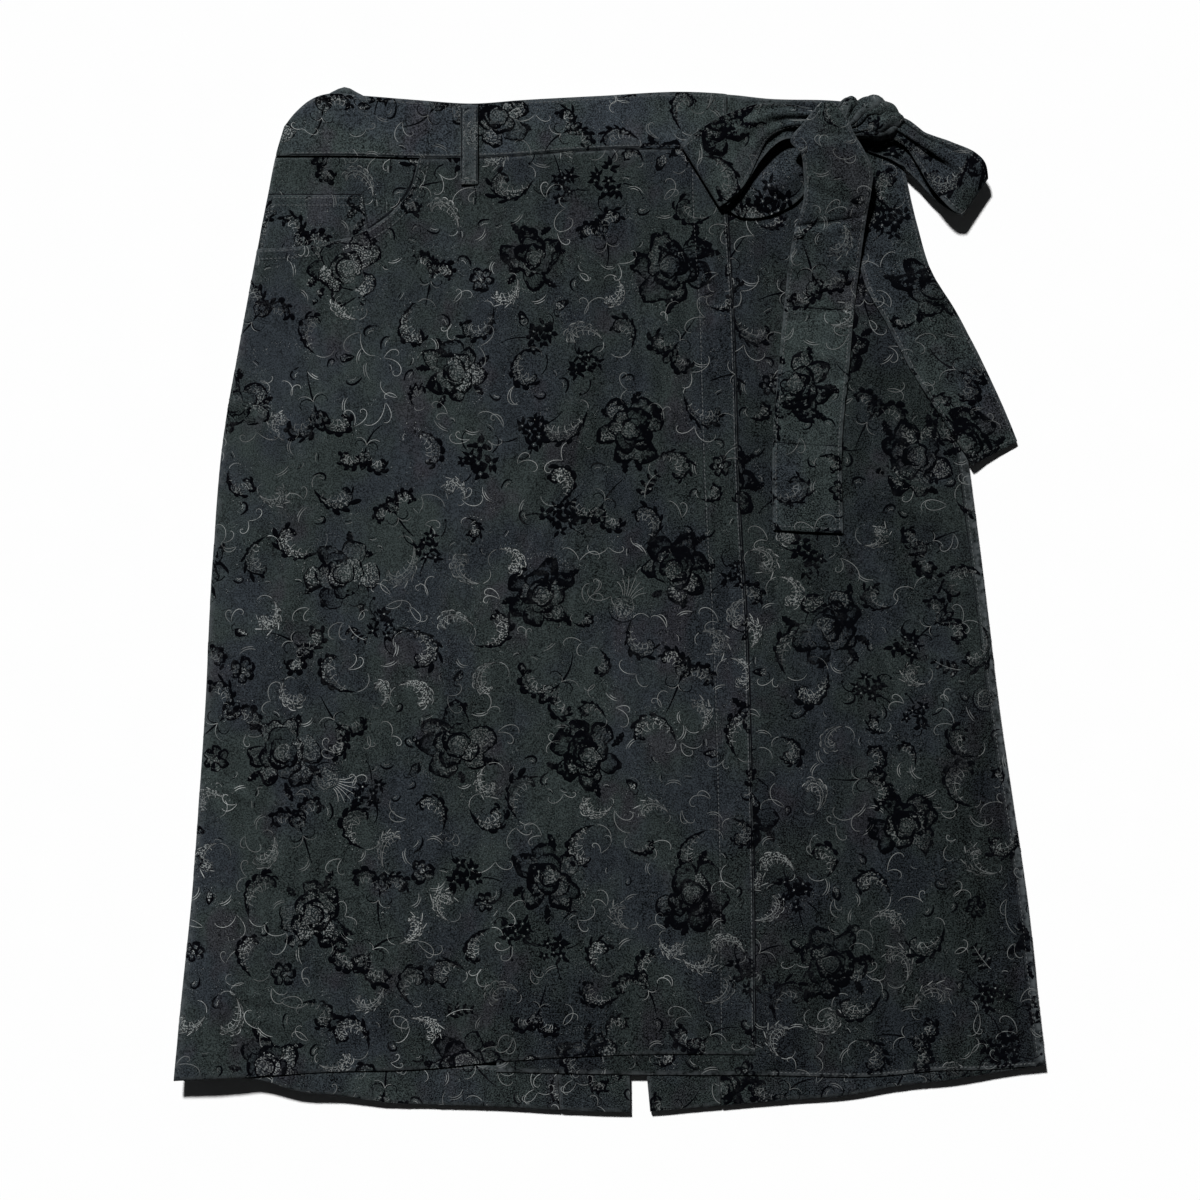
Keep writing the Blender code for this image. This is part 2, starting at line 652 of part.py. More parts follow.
def bow_knot(skirt, material):
    """The knot: a rounded lump with folds that spread from where the tail leaves it."""
    lump = bmesh.new()
    bmesh.ops.create_uvsphere(lump, u_segments=28, v_segments=14, radius=1.0)
    mesh = bpy.data.meshes.new("bow_knot")
    lump.to_mesh(mesh)
    lump.free()
    points = np.empty(len(mesh.vertices) * 3)
    mesh.vertices.foreach_get("co", points)
    points = points.reshape(-1, 3)
    angle = np.arctan2(points[:, 1] - KNOT_FOCUS[1], points[:, 0] - KNOT_FOCUS[0])
    away = smooth(np.hypot(points[:, 1] - KNOT_FOCUS[1], points[:, 0] - KNOT_FOCUS[0]) / 0.9)
    top = smooth(points[:, 2] * 1.6)
    fold = 1.0 + KNOT_FOLD_DEPTH * np.cos(KNOT_FOLDS * angle) * away * top
    squared = np.sign(points) * np.abs(points) ** np.array([0.9, 0.9, 0.8])
    shaped = squared * fold[:, None] * np.array(KNOT_HALF)
    turn_x = shaped[:, 0] * math.cos(KNOT_TILT) - shaped[:, 1] * math.sin(KNOT_TILT)
    turn_y = shaped[:, 0] * math.sin(KNOT_TILT) + shaped[:, 1] * math.cos(KNOT_TILT)
    placed = np.stack([turn_x, turn_y, shaped[:, 2]], axis=1) + np.array(KNOT_CENTRE)
    mesh.vertices.foreach_set("co", (placed * MM).ravel())
    mesh.shade_smooth()
    add_object("bow_knot", mesh, material, skirt.parts, skirt.origin)


def main():
    for old in list(bpy.data.objects):
        bpy.data.objects.remove(old)
    skirt = Skirt()
    jacquard = cloth_material("charcoal_jacquard", (0.030, 0.036, 0.038), 0.85)
    turned = cloth_material("turned_jacquard", (0.036, 0.042, 0.043), 0.88)
    tie = cloth_material("tie_jacquard", (0.034, 0.040, 0.042), 0.85)
    back_panels(skirt, jacquard)
    back_turnings(skirt, turned)
    under_panel(skirt, jacquard)
    wrap_panel(skirt, jacquard)
    waistbands(skirt, jacquard)
    pocket(skirt, turned)
    belt_loop(skirt, jacquard)
    tie_lead(skirt, tie)
    hanging_end(skirt, "front_tail", FRONT_TAIL, 26, tie)
    hanging_end(skirt, "side_tail", SIDE_TAIL, 24, tie)
    bow_loop(skirt, "bow_left_loop", LEFT_LOOP, 30, tie)
    bow_loop(skirt, "bow_right_loop", RIGHT_LOOP, 26, tie)
    bow_knot(skirt, tie)


main()
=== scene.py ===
"""Wrap skirt laid flat and tied in a bow: its cloth, woven flowers, sewing and the studio round it.

Lengths are worked out in millimetres in the frame's axes: X to the right across the laid skirt, Y towards
its waist and Z up from the surface that it lies on. new_mesh() turns them into metres.
"""

import math

import bpy
import numpy as np
from bpy.props import FloatProperty, FloatVectorProperty, IntProperty, PointerProperty
from bpy.types import Operator, Panel, PropertyGroup
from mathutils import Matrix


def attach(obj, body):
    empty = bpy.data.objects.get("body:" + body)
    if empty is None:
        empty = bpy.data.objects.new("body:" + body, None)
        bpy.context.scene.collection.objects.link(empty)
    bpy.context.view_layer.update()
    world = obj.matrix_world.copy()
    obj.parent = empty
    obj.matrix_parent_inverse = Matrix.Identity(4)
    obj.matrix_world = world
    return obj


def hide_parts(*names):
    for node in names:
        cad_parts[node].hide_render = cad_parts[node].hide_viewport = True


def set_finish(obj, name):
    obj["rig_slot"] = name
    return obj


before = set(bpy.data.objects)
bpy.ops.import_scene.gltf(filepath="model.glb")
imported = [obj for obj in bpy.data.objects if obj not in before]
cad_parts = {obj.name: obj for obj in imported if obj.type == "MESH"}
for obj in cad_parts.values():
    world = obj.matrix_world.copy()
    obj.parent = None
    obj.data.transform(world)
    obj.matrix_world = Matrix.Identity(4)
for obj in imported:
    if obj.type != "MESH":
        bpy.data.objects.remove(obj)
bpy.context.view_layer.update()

bl_info = {
    "name": "Laid wrap skirt",
    "version": (1, 0, 0),
    "blender": (4, 5, 0),
    "location": "View3D > Sidebar > Skirt",
    "description": "Dresses the frame of a laid wrap skirt with cloth, woven flowers and sewing",
    "category": "Object",
}

MM = 0.001
QUARTER = math.pi / 2
TURN = 2 * math.pi
UP = np.array([0.0, 0.0, 1.0])

# Middle heights of the layers as they lie on each other.
BACK_Z = 0.7
TURNING_Z = 2.05
UNDER_Z = 3.4
WRAP_Z = 5.2
BACK_BAND_Z = 1.3
UNDER_BAND_Z = 3.95
WRAP_BAND_Z = 6.7
WRAP_BAND_SIDE_Z = 5.3
BACKING_DROP = 2.9
COIN_RISE = 1.5
SIDE_SEAM_Z = 3.1
SIDE_SEAM_GAP = 1.0
# How far in a side is rounded, as a share of the height that it rounds.
ROLL_SHAPE = 1.6

WAIST_Y = 332.0
HEM_Y = -352.0
# Moves the garment so that its outline is centred on the frame.
CENTRING = np.array([0.33, -0.18, 0.0])
# How far below the waist seam the panels end, under the band.
SEAM_DROP = 0.6

# Vertical lines of the laid body: y, left side, free edge of the wrap, right side.
SIDES = (
    (356, -244, 85, 211), (332, -251, 85.5, 215.5), (300, -257.5, 86, 221), (262, -265, 88, 230),
    (225, -272, 90.5, 240.5), (187, -279, 92, 250.5), (150, -285.5, 93, 259), (112, -291.5, 94, 265.5),
    (75, -295, 95.5, 270.5), (37, -297.5, 97.5, 275.5), (0, -300, 100, 280), (-75, -303.5, 103, 289),
    (-150, -308.5, 105, 300), (-225, -314, 106.5, 311), (-300, -321, 107, 319),
    (-358, -326, 107.5, 325.5),
)
LAP_EDGE = (-61.0, -86.0)
CENTRE_BACK = (-15.0, 20.0)

# Lines across the body: x, y.
WAIST_SEAM = (
    (-251, 332.5), (-199, 332.5), (-146, 331), (-112, 331), (-83, 332), (-30, 336),
    (22, 338), (59, 337), (87, 334), (141, 331), (221, 325.5),
)
FRONT_HEM = (
    (-326, -357.5), (-271, -355.5), (-211, -352.5), (-141, -351), (-80, -345), (-27, -341.5),
    (107, -340), (201, -343), (280, -341), (325, -339),
)
UNDER_HEM = (
    (-86, -353), (14, -355), (119, -355.5), (201, -356), (240, -352), (280, -351), (325, -347.5),
)
BACK_HEM = (
    (-326, -358.5), (-262, -358.5), (-234, -367), (-203, -370.5), (-171, -376), (-131, -378),
    (-83, -379.5), (-39, -382), (20, -383.5), (71, -379.5), (126, -375), (179, -370.5),
    (216, -363.5), (254, -359), (291, -353), (325.5, -348),
)
FRONT_TOP = (
    (-246, 354), (-240, 361.5), (-233, 368), (-222, 375.5), (-211, 378.5), (-188, 377),
    (-144, 373.5), (-104, 371), (-65, 373.5), (-9, 376.5), (59, 379.5), (92, 377.5),
    (115, 375), (171, 373), (219, 366),
)
BACK_TOP = (
    (-246, 349), (-233, 364), (-218, 375), (-207, 381.5), (-200, 384), (-190, 379.5),
    (-179, 374), (-158, 370), (-120, 367.5), (-9, 372), (66, 375), (141, 369.5), (219, 361),
)
POCKET_MOUTH = (
    (-144, 331), (-149, 310.5), (-159.5, 295), (-173, 283), (-188.5, 274),
    (-209.5, 268), (-230.5, 264.5), (-249, 263), (-266, 262.5),
)
MOUTH_END = -144.0
BAND_ENDS = {"left": -246.0, "right": 211.0, "wrap": 85.6}

# Broad soft ridges: x and y of both ends, half width, height.
RIDGES = (
    (-22, 262, -26, 118, 17, 4.0), (-120, 250, -70, 60, 24, 2.6), (-205, 150, -150, -60, 22, 2.9),
    (-262, -20, -235, -230, 20, 3.6), (-120, -60, -160, -300, 22, 2.7), (-20, -90, -45, -330, 24, 2.6),
    (60, 60, 40, -140, 20, 2.9), (70, -200, 62, -335, 18, 2.3), (205, 80, 242, 62, 12, 2.9),
    (160, -60, 190, -280, 22, 2.9), (255, -60, 262, -250, 22, 3.2),
)
SIDE_BULGE = 2.6
SIDE_BULGE_REACH = 26.0
CORNER_LIFT = 10.5
RIGHT_LIFT = 1.8
HEM_LIFT = 2.2

# Creases that wear and pressing left in the front: x and y of both ends, half width, height, sideways bend.
CREASES = (
    (-222, 322, -205, 268, 4.0, 1.8, 5), (-238, 250, -205, 214, 3.2, 1.6, -4),
    (-262, 205, -238, 168, 3.6, 2.1, 5), (-272, 150, -242, 118, 3.2, 1.8, -5),
    (-281, 92, -262, 44, 3.4, 2.1, 4), (-288, 20, -266, -12, 3.0, 1.8, -4),
    (-292, -48, -270, -92, 3.6, 2.2, 5), (-298, -128, -262, -150, 3.2, 1.8, -5),
    (-302, -190, -276, -246, 4.4, 2.6, 6), (-306, -262, -262, -300, 4.6, 2.2, -6),
    (-280, -312, -214, -330, 4.2, 1.8, 5), (-238, -246, -206, -318, 4.6, 2.1, -7),
    (-196, 236, -176, 196, 3.4, 1.2, 4), (-150, 262, -128, 232, 3.4, 1.6, -4),
    (-104, 318, -92, 262, 4.2, 1.8, 5), (-62, 322, -58, 248, 4.6, -1.4, -4),
    (4, 328, -6, 214, 5.6, -1.8, 5), (36, 322, 44, 246, 4.4, 1.6, -5), (66, 312, 78, 232, 3.8, 1.6, 4),
    (-168, 142, -132, 116, 3.6, 1.2, -5), (-96, 176, -74, 128, 4.2, 1.6, 5),
    (-34, 96, -52, 26, 5.2, 1.8, -6), (24, 152, 36, 84, 4.6, 1.6, 5), (70, 182, 82, 138, 3.2, 1.6, -3),
    (58, 26, 88, -2, 3.4, 1.6, 4), (-186, 12, -158, -30, 4.2, 1.6, -5),
    (-228, 66, -204, 22, 4.0, 1.6, 5), (-112, 22, -92, -42, 4.8, 1.6, -5),
    (-62, -66, -30, -104, 4.2, 1.2, 5), (12, -36, 28, -92, 4.4, 1.6, -5),
    (62, -62, 92, -96, 3.6, 1.6, 4), (-222, -96, -186, -132, 4.2, 1.6, -6),
    (-146, -128, -126, -186, 4.6, 1.6, 6), (-82, -152, -60, -206, 4.2, 1.2, -5),
    (-12, -172, 16, -216, 4.4, 1.6, 5), (74, -146, 86, -212, 3.6, 1.6, -4),
    (-182, -212, -160, -262, 4.4, 1.6, 5), (-96, -252, -70, -312, 4.6, 1.8, -6),
    (-8, -262, 8, -322, 4.4, 1.6, 4), (34, -286, 72, -322, 3.8, 1.6, -5),
    (118, 168, 132, 92, 4.4, 1.8, 5), (196, 104, 250, 84, 3.2, 2.6, -5),
    (188, 52, 236, 26, 3.8, 2.1, 6), (240, 34, 268, 6, 3.2, 2.2, -4), (132, 30, 166, -8, 4.2, 1.6, 5),
    (206, -22, 262, -46, 3.8, 2.1, -6), (122, -66, 150, -116, 4.4, 1.6, 5),
    (214, -86, 232, -146, 4.6, 2.1, -6), (262, -96, 284, -156, 3.6, 2.2, 5),
    (136, -162, 176, -196, 4.2, 1.6, -5), (236, -176, 276, -206, 4.2, 2.1, 5),
    (186, -216, 206, -276, 4.8, 1.8, -6), (270, -226, 300, -286, 4.0, 2.6, 6),
    (126, -256, 146, -316, 4.2, 1.6, 5), (226, -286, 262, -322, 4.2, 2.1, -5),
)

VENT_TOP_Y = -205.0
VENT_OPEN = 12.5
VENT_FACING_TOP_Y = -193.0
VENT_FACING = 60.0
HEM_TURNING = 30.0
HEM_SIDE_INSET = 9.0
TURNING_SETBACK = 0.5
TURNING_WALL = 1.0
AIR = 0.35

BACKING_TOP_Y = 331.0
BACKING_BOTTOM_Y = 246.0
BACKING_RIGHT_X = -132.0
BACKING_WALL = 1.1
COIN_WALL = 1.0
COIN_TOP_Y = 303.0
COIN_BOTTOM_Y = BACKING_BOTTOM_Y + 8.0
COIN_RIGHT = (-187.0, -178.5)
COIN_LEFT_INSET = 4.2

LOOP_CENTRE = (-106.3, 340.5)
LOOP_SIZE = (12.5, 59.0)
LOOP_Z = 7.45
LOOP_ARCH = 1.3
LOOP_WALL = 1.2

# Tie, from the wrap's waistband to the knot: x, y of the top edge, y of the bottom edge.
TIE_LEAD = (
    (87.2, 376.5, 335), (112, 374.5, 338.5), (136, 373.5, 344.5), (157, 372, 350), (170, 369, 354),
)
# Hanging ends: x, y of the left edge, x, y of the right edge, and height of the middle where it doesn't lie
# on the cloth.
FRONT_TAIL = (
    (156.5, 369.2, 163, 369.8, 23.6), (150.5, 363.5, 169.5, 364.5, 24.8),
    (143.5, 355, 174.5, 357.5, 25.6), (133, 340.5, 180, 345.5, 25.4), (140.5, 332, 187, 334, 24.4),
    (143, 316, 193.5, 320, 22.4), (143, 297, 192.5, 302, 19.2), (137.5, 279, 189, 281, 15.4),
    (133, 254, 185.5, 254, 11.2), (130, 225, 182, 225), (125.5, 178, 177.5, 175), (121, 118, 172, 117),
    (121, 52.5, 173, 50),
)
SIDE_TAIL = (
    (184, 336, 215, 341), (181.5, 305, 221, 312), (183, 270, 228.5, 280), (190, 236, 239, 246),
    (207, 205, 257, 217), (225, 171, 273, 187), (241, 146, 287.5, 157), (257, 121, 298, 133),
    (269.5, 101, 303.5, 119),
)
# Half the wall of the front and of a tail, as a tail lies on it, and the air between them.
FRONT_HALF = 0.6
TAIL_HALF = 0.8
TAIL_AIR = 0.3
TAIL_CROWN = 0.8
OVERHANG_Z = 2.6
OVERHANG_REACH = 13.0

# Folds across the hanging ends and loops: distance along at both edges, half width, height.
# A negative height is a trough; lengths run from the knot.
FRONT_TAIL_FOLDS = (
    (14, 30, 4.0, -1.4), (38, 28, 5.0, 1.2), (62, 84, 3.0, -1.1), (94, 88, 1.8, -1.9),
    (100, 94, 2.6, 0.9), (122, 136, 4.5, 1.1), (154, 157, 1.4, -1.3), (166, 152, 3.4, -1.0),
    (182, 196, 3.0, 1.0), (216, 206, 4.2, -1.0), (248, 264, 3.6, 0.8), (257, 259, 1.3, -1.1),
    (292, 278, 3.0, -0.9),
)
SIDE_TAIL_FOLDS = (
    (18, 36, 4.0, -1.1), (44, 30, 4.6, 0.9), (74, 96, 4.0, -0.9), (112, 98, 4.4, 0.8),
    (140, 158, 3.6, -0.8), (186, 172, 4.0, 0.8), (214, 226, 3.2, -0.6),
)

# Loops of the bow, from beneath the knot out to the tip and back above:
# x, y, z of the upper edge, x, y, z of the lower edge.
LEFT_LOOP = (
    (152, 358, 9.4, 154, 340, 8.6),
    (132, 351, 9.4, 143, 303, 5.7),
    (108, 340, 9.4, 119, 288, 5.7),
    (80, 336, 9.6, 97, 286.5, 6.4),
    (57.5, 339.5, 9.9, 86, 292, 7.6),
    (52, 340, 11.6, 81, 293.5, 11.2),
    (57, 344, 13.6, 86, 297, 13.4),
    (70, 353.5, 15.0, 98.5, 309, 15.2),
    (88, 363, 16.0, 109, 330, 17.0),
    (110, 369.5, 16.8, 115.5, 342.5, 17.8),
    (130, 369, 17.2, 128, 350.5, 17.6),
    (149, 366, 17.0, 150, 353, 17.0),
)
RIGHT_LOOP = (
    (219, 346, 9.2, 192, 335.5, 9.2),
    (236, 338, 9.0, 212, 327.5, 9.0),
    (252, 329, 8.6, 227, 315, 8.6),
    (268, 318, 8.4, 243, 298.5, 8.4),
    (276, 314, 9.0, 256, 289.5, 9.0),
    (280, 314, 12.0, 262, 287.5, 12.0),
    (279.5, 321, 15.2, 256, 289.5, 15.2),
    (271, 333, 16.4, 239, 307, 15.8),
    (251, 341.5, 16.6, 228, 325, 16.0),
    (233, 348.5, 16.6, 219, 338, 15.6),
    (221.6, 357, 15.6, 210, 344, 14.6),
    (207, 363, 13.6, 196, 350, 13.0),
)
LOOP_CROWN = 1.6
LOOP_SWELL = {"bow_left_loop": 4.8, "bow_right_loop": 2.2}

# The second ply that shows under the left loop's front edge: x, y, z of the hidden and of the shown edge.
LEFT_PLY = (
    (84, 300, 10.8, 86.4, 294.6, 12.2),
    (91, 314, 11.6, 98.4, 307.0, 14.0),
    (99, 329, 12.6, 106.2, 320.2, 15.8),
    (106, 340, 13.2, 113.0, 330.0, 16.8),
    (116, 349, 13.4, 119.4, 337.0, 16.8),
    (130, 355, 13.6, 128.4, 343, 16.4),
    (146, 358, 13.8, 147, 344, 15.2),
)

# The knot: its middle, half its length, depth and height, how its length leans, and where its folds meet.
KNOT_CENTRE = (192.5, 359.3, 14.0)
KNOT_HALF = (24.0, 14.8, 8.8)
KNOT_TILT = math.radians(-11.0)
KNOT_FOCUS = (-19.0, -15.0)
KNOT_FOLDS = 8.5
KNOT_FOLD_DEPTH = 3.8
KNOT_WALL = 1.4

# A wall's rim: its width as a share of half the wall, its steps on doubled cloth, and the least wear on it.
RIM_WIDTH = 0.5
ROUND_RIM = 3
RIM_WEAR = 0.8
# How far from an edge a narrow piece shows wear.
EDGE_WEAR = 1.6

# Every cloth that is laid, by name.
CLOTHS = {}


def smooth(value):
    """Rises from 0 to 1 with level ends as value goes from 0 to 1."""
    value = np.clip(value, 0.0, 1.0)
    return value * value * (3.0 - 2.0 * value)


def bell(value):
    """A soft hump: 1 at 0, falling away on both sides."""
    return np.exp(-(value**2))


def ramp(count, low=0.0, high=1.0):
    """Even values from low to high, with both of them."""
    return np.linspace(low, high, count)


def joined(*parts):
    """Coordinates side by side in a new last axis."""
    return np.stack(parts, axis=-1)


def chosen(part):
    """The sizes and colours that are set for a part of the work."""
    return getattr(bpy.context.scene, f"skirt_{part}")


def distances(points):
    """Way along a line of points from its first to each of them."""
    return np.concatenate([[0.0], np.cumsum(np.linalg.norm(np.diff(points, axis=0), axis=1))])


def curve(rows, at, column=1):
    """A cubic curve through the rows of a table, read at the values `at` of its first column.

    Between two rows the value follows the cubic that has both rows' values and slopes, and a row's slope
    is the one of its neighbours.
    """
    table = np.array(rows, dtype=float)
    table = table[np.argsort(table[:, 0])]
    knots = table[:, 0]
    values = table[:, column]
    slopes = np.gradient(values, knots)
    at = np.clip(np.asarray(at, dtype=float), knots[0], knots[-1])
    low = np.clip(np.searchsorted(knots, at) - 1, 0, len(knots) - 2)
    step = knots[low + 1] - knots[low]
    t = (at - knots[low]) / step
    rise = t * t * (3.0 - 2.0 * t)
    start = t * (1.0 - t) ** 2 * slopes[low]
    end = t * t * (1.0 - t) * slopes[low + 1]
    return values[low] + rise * (values[low + 1] - values[low]) + step * (start - end)


def line_of(rows, rise=0.0, column=1):
    """The curve through a column of a table, moved by a rise, as a function of its first column."""
    return lambda at: curve(rows, at, column) + rise


left_side, wrap_edge, right_side = (line_of(SIDES, column=column) for column in (1, 2, 3))


def straight(line, y):
    """x of a straight line given at the waist seam and at the hem."""
    top, bottom = line
    return top + (bottom - top) * (WAIST_Y - y) / (WAIST_Y - HEM_Y)


def lattice_noise(x, y, size, seed):
    """Soft random hills from -1 to 1: random heights on a square lattice, eased from one to the next."""
    heights = np.random.default_rng(seed).uniform(-1.0, 1.0, (256, 256))
    column = np.floor(x / size).astype(int)
    row = np.floor(y / size).astype(int)
    across = smooth(x / size - column)
    up = smooth(y / size - row)
    here, beyond = column % 256, (column + 1) % 256
    low, high = (
        heights[line % 256, here] * (1 - across) + heights[line % 256, beyond] * across
        for line in (row, row + 1)
    )
    return low * (1 - up) + high * up


def crumple(x, y, seed=3):
    """Washed-in unevenness about 1 high: hills of three sizes, the smaller ones sharpened to little folds."""
    drift_x = x + 9.0 * lattice_noise(x, y, 42.0, seed)
    drift_y = y + 9.0 * lattice_noise(x, y, 42.0, seed + 1)
    broad = lattice_noise(drift_x, drift_y * 0.7, 30.0, seed + 2)
    folds = 0.5 - np.abs(lattice_noise(drift_x * 1.2, drift_y * 0.6, 15.0, seed + 3))
    fine = 0.5 - np.abs(lattice_noise(drift_x, drift_y * 0.75, 8.5, seed + 4))
    return 0.55 * broad + 0.75 * folds + 0.35 * fine


def crease(x, y, row):
    """One crease: a ridge along a bent line with a shallower trough beside it, fading out at its ends.

    t is the way along its line and `apart` the distance from it, less a half sine wave as the line's bend.
    """
    x0, y0, x1, y1, half_width, height, bend = row
    length = math.hypot(x1 - x0, y1 - y0)
    along_x, along_y = (x1 - x0) / length, (y1 - y0) / length
    t = ((x - x0) * along_x + (y - y0) * along_y) / length
    apart = (y - y0) * along_x - (x - x0) * along_y - bend * np.sin(math.pi * np.clip(t, 0.0, 1.0))
    ends = smooth((t + 0.15) / 0.35) * smooth((1.15 - t) / 0.35)
    ridge = bell(apart / half_width) - 0.55 * bell((apart - 1.9 * half_width) / half_width)
    return height * ends * ridge


def relief(x, y):
    """Height that the soft ridges and the full sides add to both front layers.

    Each ridge is a hump over the distance from its line, and all is calm at the waist seam and the hem.
    """
    total = 1.1 * (1.0 + lattice_noise(x + 900.0, 0.4 * y + 900.0, 34.0, 17))
    for x0, y0, x1, y1, half_width, height in RIDGES:
        along_x, along_y = x1 - x0, y1 - y0
        length = math.hypot(along_x, along_y)
        t = np.clip(((x - x0) * along_x + (y - y0) * along_y) / length**2, 0.0, 1.0)
        apart = np.hypot(x - x0 - t * along_x, y - y0 - t * along_y)
        total = total + height * bell(apart / half_width)
    bulge = bell((x - left_side(y)) / SIDE_BULGE_REACH - 1.0)
    total = total + SIDE_BULGE * smooth((200.0 - y) / 300.0) * bulge
    return total * smooth((WAIST_Y - 14.0 - y) / 60.0) * (1.0 - 0.85 * near_hem(y))


def near_hem(y):
    """0 well above the hem, eased to 1 along it."""
    return smooth((HEM_Y + 60.0 - y) / 52.0)


def wrinkles(x, y):
    """Creases and crumple that both front layers share, with hollows half as deep, calm at the waist seam."""
    height = chosen("cloth").crumple / MM
    total = height * crumple(x, y)
    for row in CREASES:
        total = total + crease(x, y, row)
    total = np.where(total < 0.0, 0.5 * total, total)
    return total * (0.25 + 0.75 * smooth((WAIST_Y - y) / 40.0)) * (1.0 - 0.5 * near_hem(y))


def corner_lift(x, y):
    """The hem stands a little off the surface and its corners more, all layers together."""
    left = CORNER_LIFT * smooth((-135.0 - x) / 180.0) * smooth((-190.0 - y) / 180.0)
    right = RIGHT_LIFT * smooth((x - 130.0) / 150.0) * smooth((-250.0 - y) / 110.0)
    return left + right + HEM_LIFT * smooth((HEM_Y + 50.0 - y) / 60.0)


def near_waist(y):
    """1 at the waist seam, eased to 0 below it."""
    return 1.0 - smooth((WAIST_Y - y) / 45.0)


def over_lap(x):
    """0 left of the underlap's hidden edge and 1 where the wrap lies on it, near the waist."""
    return smooth((x - LAP_EDGE[0] + 45.0) / 35.0)


def wrap_band_height(x):
    """Low at the left and higher where the underlap's band lies beneath."""
    return WRAP_BAND_SIDE_Z + (WRAP_BAND_Z - WRAP_BAND_SIDE_Z) * over_lap(x)


def under_height(x, y):
    """The underlap's level and relief, rising to its band near the waist."""
    return UNDER_Z - 0.25 * near_hem(y) + relief(x, y) + near_waist(y) * (UNDER_BAND_Z - UNDER_Z)


def wrap_height(x, y):
    """Over the underlap the wrap lies close on it at the hem, and beside it closer to the back."""
    drop = near_hem(y) * (0.9 + 1.0 * (1.0 - over_lap(x)))
    return WRAP_Z - drop + relief(x, y) + near_waist(y) * (wrap_band_height(x) - WRAP_Z)


def backing_height(x, y):
    """The backing lies below the wrap and rises to the side seam where the mouth leaves it bare."""
    bare = 1.0 - smooth((281.0 - y) / 14.0)
    rise = 1.5 * (1.0 - smooth((x - left_side(y)) / 14.0)) * bare
    top = (BACKING_DROP - 1.2) * smooth((y - 312.0) / 16.0)
    return wrap_height(x, y) - BACKING_DROP + np.maximum(rise, top)


waist_seam = line_of(WAIST_SEAM)


def past_front_hem(x, y):
    """Where a lower layer shows below the front's hem, or nearly does."""
    return y < curve(FRONT_HEM, x) + 6.0


def creased(height):
    """A layer's height with the creases that the whole front shares, as a function of x and y."""
    return lambda x, y: height(x, y) + wrinkles(x, y)


def wrap_top(x):
    """Top of the wrap panel: the waist seam, and left of it the scooped pocket mouth."""
    return np.where(x < MOUTH_END, curve(POCKET_MOUTH, x), waist_seam(x))


def unit(vectors):
    """Vectors divided by their lengths."""
    return vectors / np.maximum(np.linalg.norm(vectors, axis=-1, keepdims=True), 1e-9)


def grid_normals(points):
    """Upward normals of a grid: the slope down its rows crossed with the slope along its columns."""
    return unit(np.cross(np.gradient(points, axis=0), np.gradient(points, axis=1)))


def leftwards(points):
    """Unit vectors square to a line's own direction, to its left, one at each of its points."""
    ahead = unit(np.gradient(points, axis=-2))
    return joined(-ahead[..., 1], ahead[..., 0])


def grid_faces(number):
    """Faces of one or more grids of point numbers, turning so that they look along grid_normals."""
    above, below = number[..., :-1, :], number[..., 1:, :]
    return joined(above[..., :-1], below[..., :-1], below[..., 1:], above[..., 1:]).reshape(-1, 4)


def border(number):
    """A grid's outer point numbers in order: top row, right column, bottom row, left column."""
    return np.concatenate([number[0, :-1], number[:-1, -1], number[-1, :0:-1], number[:0:-1, 0]])


def new_mesh(name, points, faces, material, marks=None, parent=None):
    """A smooth mesh object in metres from points and faces in millimetres, with a value a point per mark."""
    mesh = bpy.data.meshes.new(name)
    mesh.from_pydata(((points + CENTRING) * MM).tolist(), [], faces)
    mesh.shade_smooth()
    for key, values in (marks or {}).items():
        mesh.attributes.new(key, "FLOAT", "POINT").data.foreach_set("value", values.astype(np.float32))
    mesh.materials.append(material)
    piece = bpy.data.objects.new(name, mesh)
    bpy.context.scene.collection.objects.link(piece)
    piece.parent = parent
    return piece


